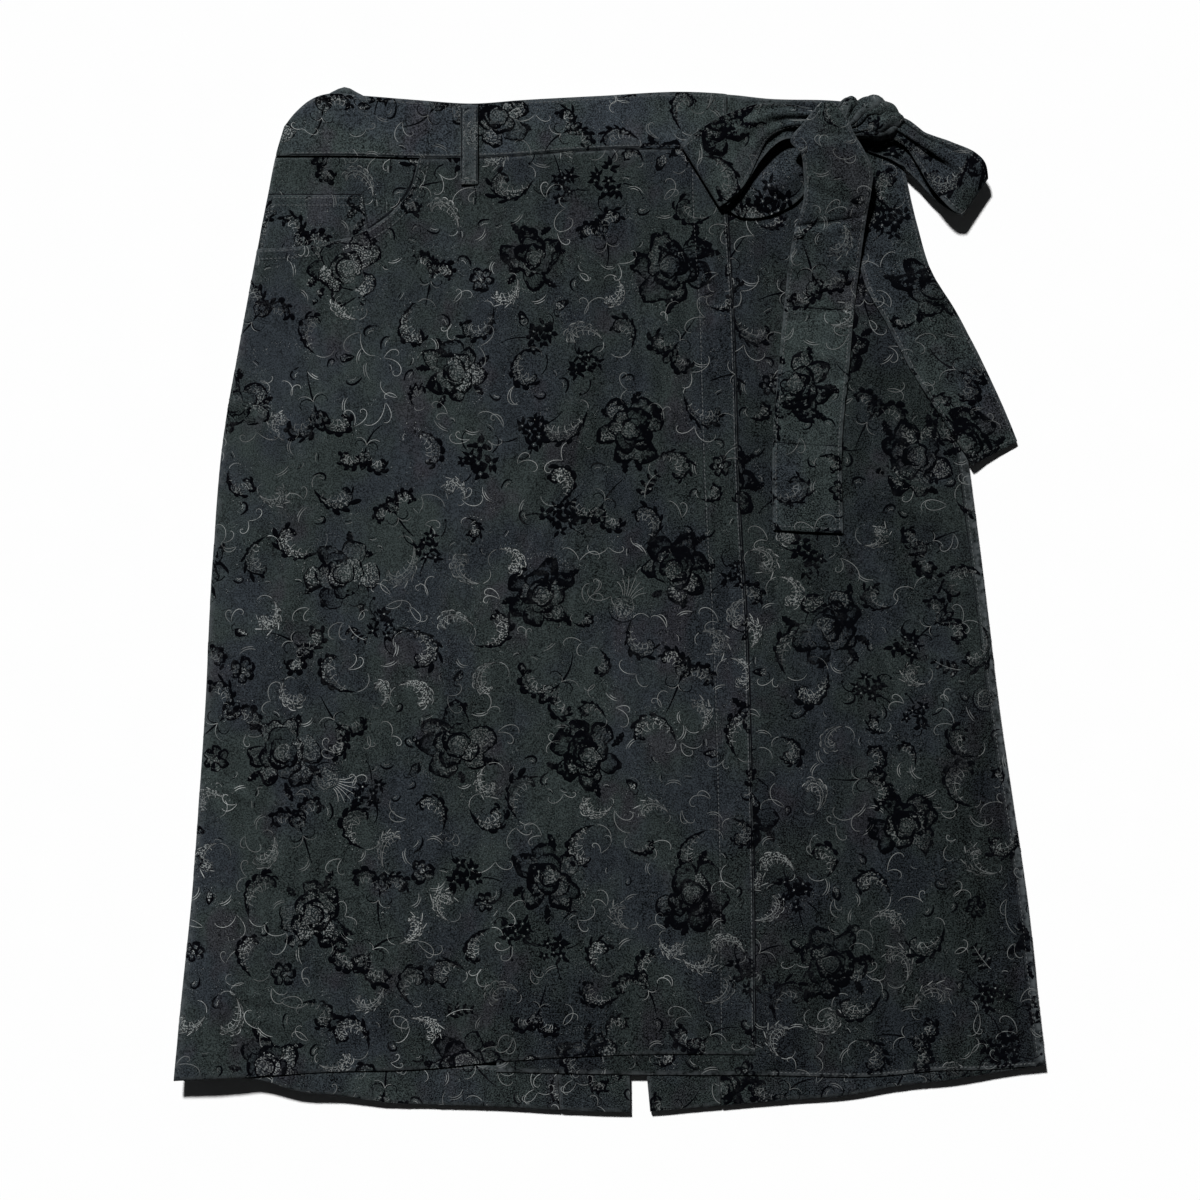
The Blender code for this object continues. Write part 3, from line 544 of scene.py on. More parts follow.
class Cloth:
    """A wall of cloth: a grid of middle points, a thickness, and a way to find a pattern's place on it.

    `locate` takes p and q of the pattern's plane and gives the row and column that they fall on, and
    `shown` tells which of them can be seen.
    """

    def __init__(self, name, points, thickness, locate, worn=None, shown=None):
        self.name = name
        self.points = points
        self.normals = grid_normals(points)
        self.thickness = thickness
        self.locate = locate
        self.shown = shown
        self.worn = np.zeros(points.shape[:2]) if worn is None else worn
        self.piece = None
        CLOTHS[name] = self

    def on(self, p, q, lift, side=1.0):
        """Points that stand `lift` off the wall's face, by even blending between the grid's points.

        Gives the points and which of them fell inside the cloth; the others are moved to its edge.
        """
        rows, columns = self.points.shape[:2]
        row, column = self.locate(p, q)
        inside = (row >= 0) & (row <= rows - 1) & (column >= 0) & (column <= columns - 1)
        if self.shown is not None:
            inside = inside & self.shown(p, q)
        row = np.clip(row, 0.0, rows - 1.0)
        column = np.clip(column, 0.0, columns - 1.0)
        r = np.minimum(row.astype(int), rows - 2)
        c = np.minimum(column.astype(int), columns - 2)
        down = (row - r)[..., None]
        over = (column - c)[..., None]
        faces = self.points + side * self.normals * self.thickness / 2
        upper = faces[r, c] * (1 - over) + faces[r, c + 1] * over
        lower = faces[r + 1, c] * (1 - over) + faces[r + 1, c + 1] * over
        lifts = side * self.normals[r, c] * np.asarray(lift)[..., None]
        return upper * (1 - down) + lower * down + lifts, inside

    def steps(self):
        """Distances between neighbours down the rows and along the columns."""
        return [np.linalg.norm(np.diff(self.points, axis=axis), axis=-1) for axis in (0, 1)]

    def near(self, spots, margin=45.0):
        """Which spots of the pattern's plane lie on this cloth or close to it."""
        row, column = self.locate(spots[..., 0], spots[..., 1])
        rows, columns = self.points.shape[:2]
        down, over = (margin / steps.mean() for steps in self.steps())
        return (row > -down) & (row < rows + down) & (column > -over) & (column < columns + over)

    def wall(self, material, steps):
        """The closed wall: both faces half a thickness from the middle, joined by a rounded rim.

        The rim's points go round half an ellipse, half as wide as it is high, from face to face.
        """
        number = np.arange(self.worn.size).reshape(self.worn.shape)
        count = number.size
        offset = self.normals * self.thickness / 2
        upper = (self.points + offset).reshape(-1, 3)
        lower = (self.points - offset).reshape(-1, 3)
        edge = border(number)
        middle = self.points.reshape(-1, 3)[edge]
        normal = self.normals.reshape(-1, 3)[edge]
        tangent = unit(np.roll(middle, -1, axis=0) - np.roll(middle, 1, axis=0))
        outward = unit(np.cross(normal, tangent))
        angles = ramp(steps + 2, 0.0, math.pi)[1:-1, None, None]
        half = self.thickness / 2
        rims = middle + normal * half * np.cos(angles) + outward * half * RIM_WIDTH * np.sin(angles)
        points = np.concatenate([upper, lower, rims.reshape(-1, 3)])
        rings = [edge]
        rings += [2 * count + k * len(edge) + np.arange(len(edge)) for k in range(steps)]
        rings.append(count + edge)
        belts = [
            joined(one, np.roll(one, -1), np.roll(other, -1), other)
            for one, other in zip(rings[:-1], rings[1:])
        ]
        faces = grid_faces(number)
        quads = np.concatenate([faces, (count + faces)[:, ::-1], *belts])
        flat = self.worn.reshape(-1)
        worn = np.concatenate([flat, flat] + [np.maximum(flat[edge], RIM_WEAR)] * steps)
        self.piece = new_mesh(f"{self.name}_cloth", points, quads.tolist(), material, {"worn": worn})

    def cut(self):
        """Width, length and area of the cloth laid flat, in metres, measured along its middle points."""
        along, across = (steps.sum(axis=axis).max() for axis, steps in enumerate(self.steps()))
        down = self.points[1:, :-1] - self.points[:-1, :-1]
        over = self.points[:-1, 1:] - self.points[:-1, :-1]
        area = np.linalg.norm(np.cross(down, over), axis=-1).sum()
        return (across * MM, along * MM), min(area, across * along) * MM * MM


def dress(cloth, rim_steps=1, own_node=True):
    """Makes a cloth's wall, rides it on the root, lets it stand for its node and works out what it was cut
    to.
    """
    material, slot = cloth_finish(cloth.name)
    cloth.wall(material, rim_steps)
    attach(cloth.piece, "root")
    if own_node:
        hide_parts(cloth.name)
    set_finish(cloth.piece, slot)
    flat, area = cloth.cut()


class Body(Cloth):
    """A panel of the laid body between two side lines, from its top line to its hem.

    Columns are counted by u: 0 to 1 across the flat part, -1 to 0 round the left side and 1 to 2 round
    the right one, where u is an angle of a quarter ellipse. Rows are counted by v, from 0 at the top line
    to 1 at the hem. x and y depend on each other, so they are found by going round a few times.
    """

    def __init__(self, name, u, v, sides, lines, height, rolls, seam_z, shown, rubs=(1.8, 1.8), wear=1.0):
        self.u = u
        self.sides = sides
        self.lines = lines
        self.rolls = rolls
        y = (WAIST_Y + (HEM_Y - WAIST_Y) * v)[:, None] + 0.0 * u[None, :]
        u_grid = u[None, :] + 0.0 * y
        for _ in range(8):
            x = self.x_at(u_grid, y)
            y = lines[0](x) + (lines[1](x) - lines[0](x)) * v[:, None]
        turn = np.sin(QUARTER * (1 + np.minimum(u, 0))) * np.sin(QUARTER * (2 - np.maximum(u, 1)))
        z = seam_z + (height(x, y) - seam_z) * turn[None, :]
        points = joined(x, y, z + corner_lift(x, y))
        left, right = sides[0](y), sides[1](y)
        ends = bell(np.minimum(lines[0](x) - y, y - lines[1](x)) / 1.8)
        worn = np.maximum(ends, np.maximum(bell((x - left) / rubs[0]), bell((right - x) / rubs[1])))
        super().__init__(name, points, chosen("cloth").wall / MM, self.find, worn * wear, shown)

    def flat_part(self, y):
        """Where the flat part starts and ends, between the rolls of its sides."""
        return self.sides[0](y) + self.rolls[0], self.sides[1](y) - self.rolls[1]

    def x_at(self, u, y):
        """x where u counts y's line off: evenly over the flat part, by the angle round a side."""
        left_roll, right_roll = self.rolls
        start, end = self.flat_part(y)
        flat = start + (end - start) * np.clip(u, 0.0, 1.0)
        left_part = left_roll * np.cos(QUARTER * (1 + np.minimum(u, 0)))
        right_part = right_roll * np.cos(QUARTER * (2 - np.maximum(u, 1)))
        return flat - left_part + right_part

    def find(self, x, y):
        """Row and column of a place on the laid body, x_at() turned round."""
        left_roll, right_roll = self.rolls
        start, end = self.flat_part(y)
        u = (x - start) / (end - start)
        if left_roll:
            angle = np.arccos(np.clip((start - x) / left_roll, 0.0, 1.0)) / QUARTER
            u = np.where(x < start, np.where(x < start - left_roll, -1.5, angle - 1.0), u)
        if right_roll:
            angle = np.arccos(np.clip((x - end) / right_roll, 0.0, 1.0)) / QUARTER
            u = np.where(x > end, np.where(x > end + right_roll, 2.5, 2.0 - angle), u)
        top, hem = self.lines[0](x), self.lines[1](x)
        row = (top - y) / (top - hem) * (self.points.shape[0] - 1)
        last = len(self.u) - 1
        column = np.interp(u, self.u, np.arange(len(self.u)))
        outside = (u < self.u[0]) | (u > self.u[-1])
        return row, np.where(outside, np.where(u < self.u[0], -1.0, last + 1.0), column)


def columns(count, left=0, right=0, fine=None):
    """Column values for a Body: `count` steps across, and steps round each side.

    `fine` is the start, the end and the number of extra steps of a stretch that needs them.
    """
    flat = ramp(count + 1)
    if fine:
        start, end, steps = fine
        flat = np.concatenate([flat[flat < start], ramp(steps, start, end), flat[flat > end]])
    before = ramp(left + 1, -1.0, 0.0)[:-1]
    after = ramp(right + 1, 1.0, 2.0)[1:]
    return np.concatenate([before, flat, after])


class Strip(Cloth):
    """A long strip of cloth between two edges, each a row of points in space.

    The pattern's q runs along it and its p across it, from the middle.
    """

    def __init__(self, name, one_edge, other_edge, across, thickness, lift=None):
        t = ramp(across + 1)[None, :, None]
        points = one_edge[:, None, :] * (1.0 - t) + other_edge[:, None, :] * t
        self.width = float(np.linalg.norm(one_edge - other_edge, axis=1).mean())
        self.way = distances((one_edge + other_edge) / 2)
        if lift is not None:
            s = self.way[:, None] + 0.0 * t[..., 0]
            points = lift(points, s, t[..., 0] + 0.0 * s)
        reach = self.width * np.minimum(t[..., 0], 1.0 - t[..., 0]) + 0.0 * self.way[:, None]
        super().__init__(name, points, thickness, self.find, bell(reach / EDGE_WEAR))

    def find(self, p, q):
        """Row by the way along the strip and column by the place across it."""
        row = np.interp(q, self.way, np.arange(len(self.way)), left=-1.0, right=len(self.way))
        return row, (p / self.width + 0.5) * (self.points.shape[1] - 1)


class Patch(Cloth):
    """A piece whose place in the pattern's plane is its own x and y: a grid between four lines."""

    def __init__(self, name, x, y, height, thickness, shown=None):
        points = joined(x, y, height(x, y))
        self.left, self.right = x[:, 0], x[:, -1]
        self.top, self.bottom = y[0], y[-1]
        reach_x = np.minimum(x - x[:, :1], x[:, -1:] - x)
        reach_y = np.minimum(y[:1] - y, y - y[-1:])
        worn = bell(np.minimum(reach_x, reach_y) / EDGE_WEAR)
        super().__init__(name, points, thickness, self.find, worn, shown)

    def find(self, x, y):
        """Row and column by going round between the two: each is read on the line that the other gives."""
        rows, count = self.points.shape[:2]
        row = np.full(np.shape(x), (rows - 1) / 2)
        for _ in range(4):
            left = np.interp(row, np.arange(rows), self.left)
            right = np.interp(row, np.arange(rows), self.right)
            column = (x - left) / (right - left) * (count - 1)
            top = np.interp(column, np.arange(count), self.top)
            bottom = np.interp(column, np.arange(count), self.bottom)
            row = (top - y) / (top - bottom) * (rows - 1)
        return row, column


def between(one, other, count):
    """Columns of values between two columns, with both of them."""
    t = ramp(count + 1)[None, :]
    return one * (1.0 - t) + other * t


def resampled(rows, count):
    """Stations along a table of edge points, evenly spaced on a smooth curve through its rows."""
    table = np.array(rows, dtype=float)
    way = distances(table)
    at = ramp(count + 1, 0.0, way[-1])
    keyed = np.column_stack([way, table])
    return np.stack([curve(keyed, at, column) for column in range(1, table.shape[1] + 1)], axis=1)


class Wire:
    """A socket of a shader. Arithmetic on wires and numbers adds the Math nodes that work it out."""

    def __init__(self, board, socket):
        self.board = board
        self.socket = socket

    def __add__(self, other):
        return self.board.math("ADD", self, other)

    def __sub__(self, other):
        return self.board.math("SUBTRACT", self, other)

    def __rsub__(self, other):
        return self.board.math("SUBTRACT", other, self)

    def __mul__(self, other):
        return self.board.math("MULTIPLY", self, other)

    __radd__ = __add__
    __rmul__ = __mul__

    def rises(self, low, high):
        """0 where the wire is at low, 1 where it is at high, and eased between them."""
        settings = {"interpolation_type": "SMOOTHSTEP"}
        return self.board.node("MapRange", settings, {"Value": self, "From Min": low, "From Max": high})


class Board:
    """The node tree of one material."""

    def __init__(self, name):
        self.material = bpy.data.materials.new(name)
        self.material.use_nodes = True
        self.tree = self.material.node_tree
        self.shader = self.tree.nodes["Principled BSDF"]

    def node(self, kind, settings=None, inputs=None, output=0):
        """Adds a node: its settings first, then the value or the link of each named socket."""
        made = self.tree.nodes.new("ShaderNode" + kind)
        for key, value in (settings or {}).items():
            setattr(made, key, value)
        for key, value in (inputs or {}).items():
            self.feed(made.inputs[key], value)
        return Wire(self, made.outputs[output])

    def feed(self, socket, value):
        """Links a wire to a socket, or sets its value."""
        if isinstance(value, Wire):
            self.tree.links.new(value.socket, socket)
        else:
            socket.default_value = value

    def math(self, operation, one, other):
        """One Math node."""
        return self.node("Math", {"operation": operation}, {0: one, 1: other})

    def mix(self, share, one, other):
        """The colour `one` where share is 0 and `other` where it is 1."""
        inputs = {0: share, 6: one, 7: other}
        return self.node("Mix", {"data_type": "RGBA"}, inputs, output=2)

    def place(self, stretch=(1.0, 1.0, 1.0)):
        """Object coordinates in millimetres, stretched along each axis."""
        spot = self.node("TexCoord", output=3)
        scale = tuple(part / MM for part in stretch)
        return self.node("VectorMath", {"operation": "MULTIPLY"}, {0: spot, 1: scale})

    def noise(self, size, detail=2.0, stretch=(1.0, 1.0, 1.0), roughness=0.5, at=None):
        """Cloudy values from 0 to 1 about `size` millimetres apart."""
        at = at or self.place(stretch)
        inputs = {"Vector": at, "Scale": 1.0 / size, "Detail": detail, "Roughness": roughness}
        return self.node("TexNoise", {"noise_dimensions": "3D"}, inputs)

    def reach(self, axis, slope):
        """The place along an axis of the skirt, times a slope."""
        return self.node("SeparateXYZ", inputs={0: self.place()}, output=axis) * slope

    def attribute(self, name):
        """A value that the mesh keeps at its points."""
        return self.node("Attribute", {"attribute_name": name}, output=2)

    def bump(self, height, depth, strength=1.0):
        """Feeds the shader's normal from heights of 0 to 1 that stand for `depth` millimetres."""
        inputs = {"Height": height, "Distance": depth * MM, "Strength": strength}
        self.feed(self.shader.inputs["Normal"], self.node("Bump", inputs=inputs))

    def finish(self, colour, roughness, constants=None):
        """Links colour and roughness, and sets what is the same all over on the shader's own sockets."""
        self.feed(self.shader.inputs["Base Color"], colour)
        self.feed(self.shader.inputs["Roughness"], roughness)
        for key, value in (constants or {}).items():
            self.shader.inputs[key].default_value = value
        return self.material


MATTE = {"Specular IOR Level": 0.02}
# One over the stretch, in millimetres, of the painted light falloff: the cloth's tone changes from side to
# side and towards the hem.
LIGHT_FALLOFF = 0.0016
# What the pale lines and dots are multiplied by at both sides, as painted light that falls off from left to
# right, and the ground where its shade is 0 and 1.
RIGHT_GAIN, LEFT_GAIN = 0.62, 1.35
DARKEST = (0.02, 0.02, 0.03)
PALEST = (1.96, 1.96, 1.95)


def rgb(colour, gain=1.0):
    """A colour times a gain, as a shader takes it."""
    return tuple(part * gain for part in colour) + (1.0,)


def weave(board):
    """Threads of the cloth: fine ribs both ways, broken up by slubs that run along each of them."""
    warp = board.noise(0.55, 1.0, (1.0, 0.16, 0.3))
    weft = board.noise(0.55, 1.0, (0.16, 1.0, 0.3))
    return warp * 0.5 + weft * 0.5


def leftness(board):
    """1 at the left side of the skirt, eased to 0 at its right: how much painted light falls there."""
    return (board.reach(0, -LIGHT_FALLOFF) + 0.5).rises(0.0, 1.0)


def paler_left(board, colour):
    """A colour that grows paler from the skirt's right to its left: painted light, as the lamp's light would
    fall off.
    """
    return board.mix(leftness(board), rgb(colour, RIGHT_GAIN), rgb(colour, LEFT_GAIN))


def figured(board, ground):
    """The woven lobes and leaves: black edges, inner lines and streaks, and grey and black stipple."""
    look = chosen("pattern")
    rim, shade, dense, root, across, along = (board.attribute(mark) for mark in MARKS)
    wander = board.noise(3.2, 3.0, roughness=0.6).rises(0.25, 0.75)
    thick = shade * (wander * 6.2 + 1.0) + 0.2
    black = 1.0 - (rim - thick).rises(-0.3, 0.3)
    from_line = board.math("ABSOLUTE", rim - thick - 1.5, 0.0)
    inner = (1.0 - from_line.rises(0.05, 0.55)) * shade.rises(0.15, 0.4)
    grain = board.node("CombineXYZ", inputs={0: across, 1: along * 0.18})
    streaks = board.noise(1.5, 1.0, at=grain).rises(0.50, 0.60) * root * shade.rises(0.05, 0.45)
    stipple = board.noise(1.05, 0.0).rises(0.53, 0.62) * dense
    holes = board.noise(1.35, 0.0, (1.0, 1.1, 0.9)).rises(0.50, 0.58) * dense
    colour = board.mix(holes * 0.9, ground, rgb(look.pile, 2.0))
    # The grey stipple grows paler to the left: painted light.
    pale = paler_left(board, look.stipple)
    colour = board.mix(stipple * board.noise(38.0, 2.0).rises(0.25, 0.62), colour, pale)
    edge = (1.0 - rim.rises(0.3, 0.9)) * (1.0 - shade.rises(0.1, 0.5)) * 0.55
    colour = board.mix(edge, colour, rgb(look.line, 0.7))
    velvet = board.math("MAXIMUM", black, board.math("MAXIMUM", inner * 0.9, streaks))
    return board.mix(velvet, colour, pile_colour(board))


def cloth_material(name, ground_gain=1.0, wash_gain=1.0, figures=False):
    """Washed charcoal jacquard: green-grey ground with bluish and plum patches, paler on its edges where the
    cloth wears and, as painted highlight, on the knot's fold ridges.

    The ground is multiplied by a shade: faded streaks, threads and specks, and painted light that makes it
    paler upwards and leftwards.
    """
    look = chosen("cloth")
    board = Board(name)
    patches = board.noise(58.0, 3.0).rises(0.42, 0.62)
    plum = board.noise(34.0, 2.0, (1.0, 0.8, 1.0)).rises(0.54, 0.70)
    ground = rgb(look.ground, ground_gain)
    ground = board.mix(patches * (0.9 * wash_gain), ground, rgb(look.wash, ground_gain))
    ground = board.mix(plum * (0.7 * wash_gain), ground, rgb(look.plum, ground_gain))
    threads = weave(board)
    faded = board.noise(11.0, 4.0, (1.0, 0.35, 1.0), 0.62)
    pepper = board.noise(1.0, 1.0, roughness=0.7)
    wide = board.noise(150.0, 2.0, (1.0, 0.6, 1.0)).rises(0.3, 0.7)
    # Painted light: the ground darker to the right and towards the hem, as the lamp's light would fall off.
    across = board.reach(0, LIGHT_FALLOFF)
    below = board.reach(1, -LIGHT_FALLOFF)
    shade = faded.rises(0.28, 0.74) * 0.26 + threads.rises(0.3, 0.7) * 0.12 + pepper.rises(0.38, 0.62) * 0.60
    # Pale specks of the weave, stronger on paler cloths, and stronger to the left as painted light.
    speck_and_light_strength = leftness(board) * 0.30 + (0.08 + max(ground_gain - 1.0, 0.0) * 0.6)
    specks_and_painted_light = board.noise(1.15, 1.0).rises(0.54, 0.66) * speck_and_light_strength
    shade = shade + specks_and_painted_light + wide * 0.16 - across * 0.25 - below.rises(0.0, 0.6) * 0.11 - 0.10
    dark = board.mix(shade, rgb(DARKEST), rgb(PALEST))
    times = {"data_type": "RGBA", "blend_type": "MULTIPLY"}
    colour = board.node("Mix", times, {0: 1.0, 6: ground, 7: dark}, 2)
    if figures:
        colour = figured(board, colour)
    else:
        # Paler where the mark is high: wear on edges, and painted highlight on the knot's fold ridges.
        rubbed = board.attribute("worn") * board.noise(5.0, 3.0).rises(0.32, 0.62)
        colour = board.mix(rubbed * 0.75, colour, rgb(look.rubbed))
    pucker = board.noise(4.6, 2.0, (1.0, 0.7, 1.0))
    rumple = board.noise(21.0, 3.0, (1.0, 0.42, 1.0))
    board.bump(threads * 0.04 + pucker * 0.16 + rumple * 0.8, 3.6, 0.95)
    sheen = 0.0 if figures else look.sheen
    return board.finish(colour, 0.86 + faded * 0.1, {"Sheen Weight": sheen, "Sheen Roughness": 0.5, **MATTE})


def pile_colour(board):
    """Velvety black, rubbed grey here and there."""
    look = chosen("pattern")
    nap = board.noise(1.1, 2.0)
    bare = board.noise(16.0, 3.0).rises(0.50, 0.78)
    return board.mix(bare * nap.rises(0.40, 0.60), rgb(look.pile), rgb(look.bare))


def pile_material(name):
    """Velvety black of the woven stems and petals."""
    board = Board(name)
    board.bump(board.noise(1.1, 2.0), 0.3, 0.6)
    return board.finish(pile_colour(board), 0.95, MATTE)


def line_material(name):
    """Grey thread of the drawn lines, fading into the ground in places, and paler to the left as painted
    light.
    """
    look = chosen("pattern")
    board = Board(name)
    faint = board.noise(38.0, 2.0).rises(0.38, 0.68)
    colour = board.mix(faint, rgb(look.line, 0.34), paler_left(board, look.line))
    colour = board.mix(board.noise(1.3, 1.0).rises(0.35, 0.65) * 0.5, colour, rgb(look.line, 0.5))
    return board.finish(colour, 0.8, {"Specular IOR Level": 0.2})


def sewing_material(name):
    """Charcoal thread, paler and darker with its twist."""
    look = chosen("sewing")
    board = Board(name)
    twist = board.noise(0.8, 1.0)
    colour = board.mix(twist.rises(0.35, 0.65), rgb(look.colour, 0.6), rgb(look.colour))
    board.bump(twist, 0.1, 0.5)
    return board.finish(colour, 0.75)


def seam_shade_material(name):
    """Painted shade: the dark between two edges at a seam, where shade falls."""
    look = chosen("sewing")
    board = Board(name)
    open_here = board.noise(9.0, 2.0).rises(0.32, 0.55)
    colour = board.mix(open_here, rgb(look.gap_colour, 2.2), rgb(look.gap_colour))
    return board.finish(colour, 0.95, MATTE)


def shared(name, make, *values):
    """The material of that name, made at its first use."""
    return bpy.data.materials.get(name) or make(name, *values)


# Kinds of cloth: slot, how pale the ground is, how strongly the wash shows, and the pieces cut from it.
FINISHES = {
    "charcoal": ("jacquard", 1.0, 1.0, ()),
    "shaded": ("jacquard", 0.88, 1.0, ("under_panel",)),
    "band": ("jacquard", 1.42, 1.0, ("back_waistband", "under_waistband", "wrap_waistband", "belt_loop")),
    "turned": ("turned_jacquard", 1.15, 0.8, (
        "back_left_hem", "back_right_hem", "vent_left_facing", "vent_right_facing",
        "pocket_backing", "coin_pocket",
    )),
    "tie": ("tie_jacquard", 1.34, 0.9, (
        "tie_lead", "front_tail", "side_tail", "bow_left_loop", "bow_right_loop", "bow_ply", "bow_knot",
    )),
}


def cloth_finish(name, figures=False):
    """The material of a piece's cloth, or of the lobes and leaves woven in it, and the piece's slot."""
    kind = next((kind for kind, row in FINISHES.items() if name in row[-1]), "charcoal")
    slot, gain, wash, _ = FINISHES[kind]
    end = "figured" if figures else "cloth"
    return shared(f"{kind}_{end}", cloth_material, gain, wash, figures), slot


def slit_half(y):
    """Half the gap between the back halves: closed above the vent, opening towards the hem."""
    opened = VENT_OPEN * np.clip((VENT_TOP_Y - y) / (VENT_TOP_Y - HEM_Y), 0.0, 1.2)
    return np.maximum(opened, AIR) / 2


def turning_height(x, y):
    """What is turned in at the back's hem and vent: level, hardly uneven, lifted with the corners."""
    return TURNING_Z + 0.12 * (1.0 + crumple(x, y, 21)) + corner_lift(x, y)


def slit_edge(side):
    """The edge of the back's left half, with side -1, or of its right one, as a function of y."""
    return lambda y: straight(CENTRE_BACK, y) + side * slit_half(y)


def vent_facing(name, side, hem_level):
    """The edge turned in along the vent: from the slit to a line beside it, down to the back's hem."""
    down = ramp(61)[:, None]
    height = VENT_FACING_TOP_Y + (hem_level - VENT_FACING_TOP_Y) * down
    slit = straight(CENTRE_BACK, height) + side * (slit_half(height) + TURNING_SETBACK / 2)
    far = straight(CENTRE_BACK, height) + side * VENT_FACING
    x = between(np.minimum(slit, far), np.maximum(slit, far), 18)
    y = VENT_FACING_TOP_Y + (curve(BACK_HEM, x) + TURNING_SETBACK - VENT_FACING_TOP_Y) * down
    return Patch(f"vent_{name}_facing", x, y, turning_height, TURNING_WALL, past_front_hem)


def turned_hem(name, side, outline, hem_level):
    """The back's hem turned up, from its side to the vent's facing."""
    up = HEM_TURNING * ramp(11, 1.0, 0.0)[:, None]
    outer = outline(HEM_Y) - side * HEM_SIDE_INSET + 0.0 * up
    inner = straight(CENTRE_BACK, hem_level + up) + side * (VENT_FACING + 2 * AIR)
    x = between(np.minimum(outer, inner), np.maximum(outer, inner), 84)
    y = curve(BACK_HEM, x) + TURNING_SETBACK + up
    return Patch(f"back_{name}_hem", x, y, turning_height, TURNING_WALL, past_front_hem)


def lay_back():
    """Both halves of the back, their turned-up hems and the turned-in edges of the vent."""
    seam_z = SIDE_SEAM_Z - SIDE_SEAM_GAP / 2
    roll = ROLL_SHAPE * (seam_z - BACK_Z)
    v = ramp(81)
    lines = (line_of(WAIST_SEAM, -SEAM_DROP), line_of(BACK_HEM))
    halves = (
        ("back_left_panel", columns(30, left=5), (left_side, slit_edge(-1)), (roll, 0.0)),
        ("back_right_panel", columns(30, right=5), (slit_edge(1), right_side), (0.0, roll)),
    )
    for name, u, sides, rolls in halves:
        dress(Body(name, u, v, sides, lines, lambda x, y: BACK_Z + 0.0 * x, rolls, seam_z, past_front_hem))
    hem_level = float(curve(BACK_HEM, CENTRE_BACK[1])) + TURNING_SETBACK
    for name, side, outline in (("left", -1, left_side), ("right", 1, right_side)):
        turned = (vent_facing(name, side, hem_level), turned_hem(name, side, outline, hem_level))
        for cloth in turned:
            dress(cloth)


def lay_front():
    """The underlap and, over it, the wrap with its scooped pocket mouth."""
    seam_z = SIDE_SEAM_Z + SIDE_SEAM_GAP / 2

    def past_wrap(x, y):
        return (x > wrap_edge(y) - 8.0) | past_front_hem(x, y)

    def top(x):
        return wrap_top(x) - SEAM_DROP * (x > MOUTH_END)

    right_roll = ROLL_SHAPE * (UNDER_Z + 1.2 - seam_z)
    under = Body(
        "under_panel", columns(34, right=7, fine=(0.42, 1.0, 64)), ramp(191),
        (lambda y: straight(LAP_EDGE, y), right_side), (line_of(WAIST_SEAM, -SEAM_DROP), line_of(UNDER_HEM)),
        creased(under_height), (0.0, right_roll), seam_z, past_wrap, rubs=(1.8, 4.5), wear=1.6,
    )
    dress(under)
    left_roll = ROLL_SHAPE * (WRAP_Z + 3.0 - seam_z)
    wrap = Body(
        "wrap_panel", columns(124, left=8, fine=(0.235, 0.318, 26)), ramp(211),
        (left_side, wrap_edge), (top, line_of(FRONT_HEM)),
        creased(wrap_height), (left_roll, 0.0), seam_z, None, rubs=(3.5, 0.4),
    )
    dress(wrap)


def band(name, ends, top_line, height, steps):
    """A stretch of waistband from the waist seam up to its top line. An end at a side leans as it does."""
    up = ramp(13, 1.0, 0.0)[:, None]
    x = ramp(steps + 1, ends[0], ends[1])[None, :] + 0.0 * up
    bottom = waist_seam(x) + 0.1
    y = bottom + (curve(top_line, x) - bottom) * up
    if ends[0] == BAND_ENDS["left"]:
        x = x + (left_side(y[:, :1]) - x[:, :1]) * smooth((ends[0] + 20.0 - x) / 20.0)
    if ends[1] == BAND_ENDS["right"]:
        x = x + (right_side(y[:, -1:]) - x[:, -1:]) * smooth((x - ends[1] + 20.0) / 20.0)

    def surface(x, y):
        base = height(x) if callable(height) else height
        return base + 0.22 * crumple(x * 0.8, y, 31)

    return Patch(name, x, y, surface, chosen("cloth").band / MM)


def lay_bands():
    """The waistband: the back's, the underlap's and the wrap's, one on the other."""
    left, right, wrap = (BAND_ENDS[key] for key in ("left", "right", "wrap"))
    stretches = (
        ("back_waistband", (left, right), BACK_TOP, BACK_BAND_Z, 110),
        ("under_waistband", (LAP_EDGE[0], right), FRONT_TOP, UNDER_BAND_Z, 80),
        ("wrap_waistband", (left, wrap), FRONT_TOP, wrap_band_height, 130),
    )
    for stretch in stretches:
        dress(band(*stretch), ROUND_RIM)


def lay_pocket():
    """The backing that shows inside the pocket mouth and the coin pocket sewn on it."""
    rows = ramp(31)[:, None]
    nominal = BACKING_TOP_Y + (BACKING_BOTTOM_Y - BACKING_TOP_Y) * rows
    side = left_side(nominal) + 3.2 * smooth((272.0 - nominal) / 12.0)
    x = between(side, BACKING_RIGHT_X + 0.0 * side, 40)
    top = waist_seam(x) - 0.5
    y = top + (BACKING_BOTTOM_Y - top) * rows

    surface = creased(backing_height)
    dress(Patch("pocket_backing", x, y, surface, BACKING_WALL))

    rows = ramp(19)[:, None]
    y = COIN_TOP_Y + (COIN_BOTTOM_Y - COIN_TOP_Y) * rows
    right = COIN_RIGHT[0] + (COIN_RIGHT[1] - COIN_RIGHT[0]) * rows
    x = between(left_side(y) + COIN_LEFT_INSET, right, 28)
    coin = Patch("coin_pocket", x, y + 0.0 * x, lambda x, y: surface(x, y) + COIN_RISE, COIN_WALL)
    coin.worn = 0.3 * coin.worn
    dress(coin)


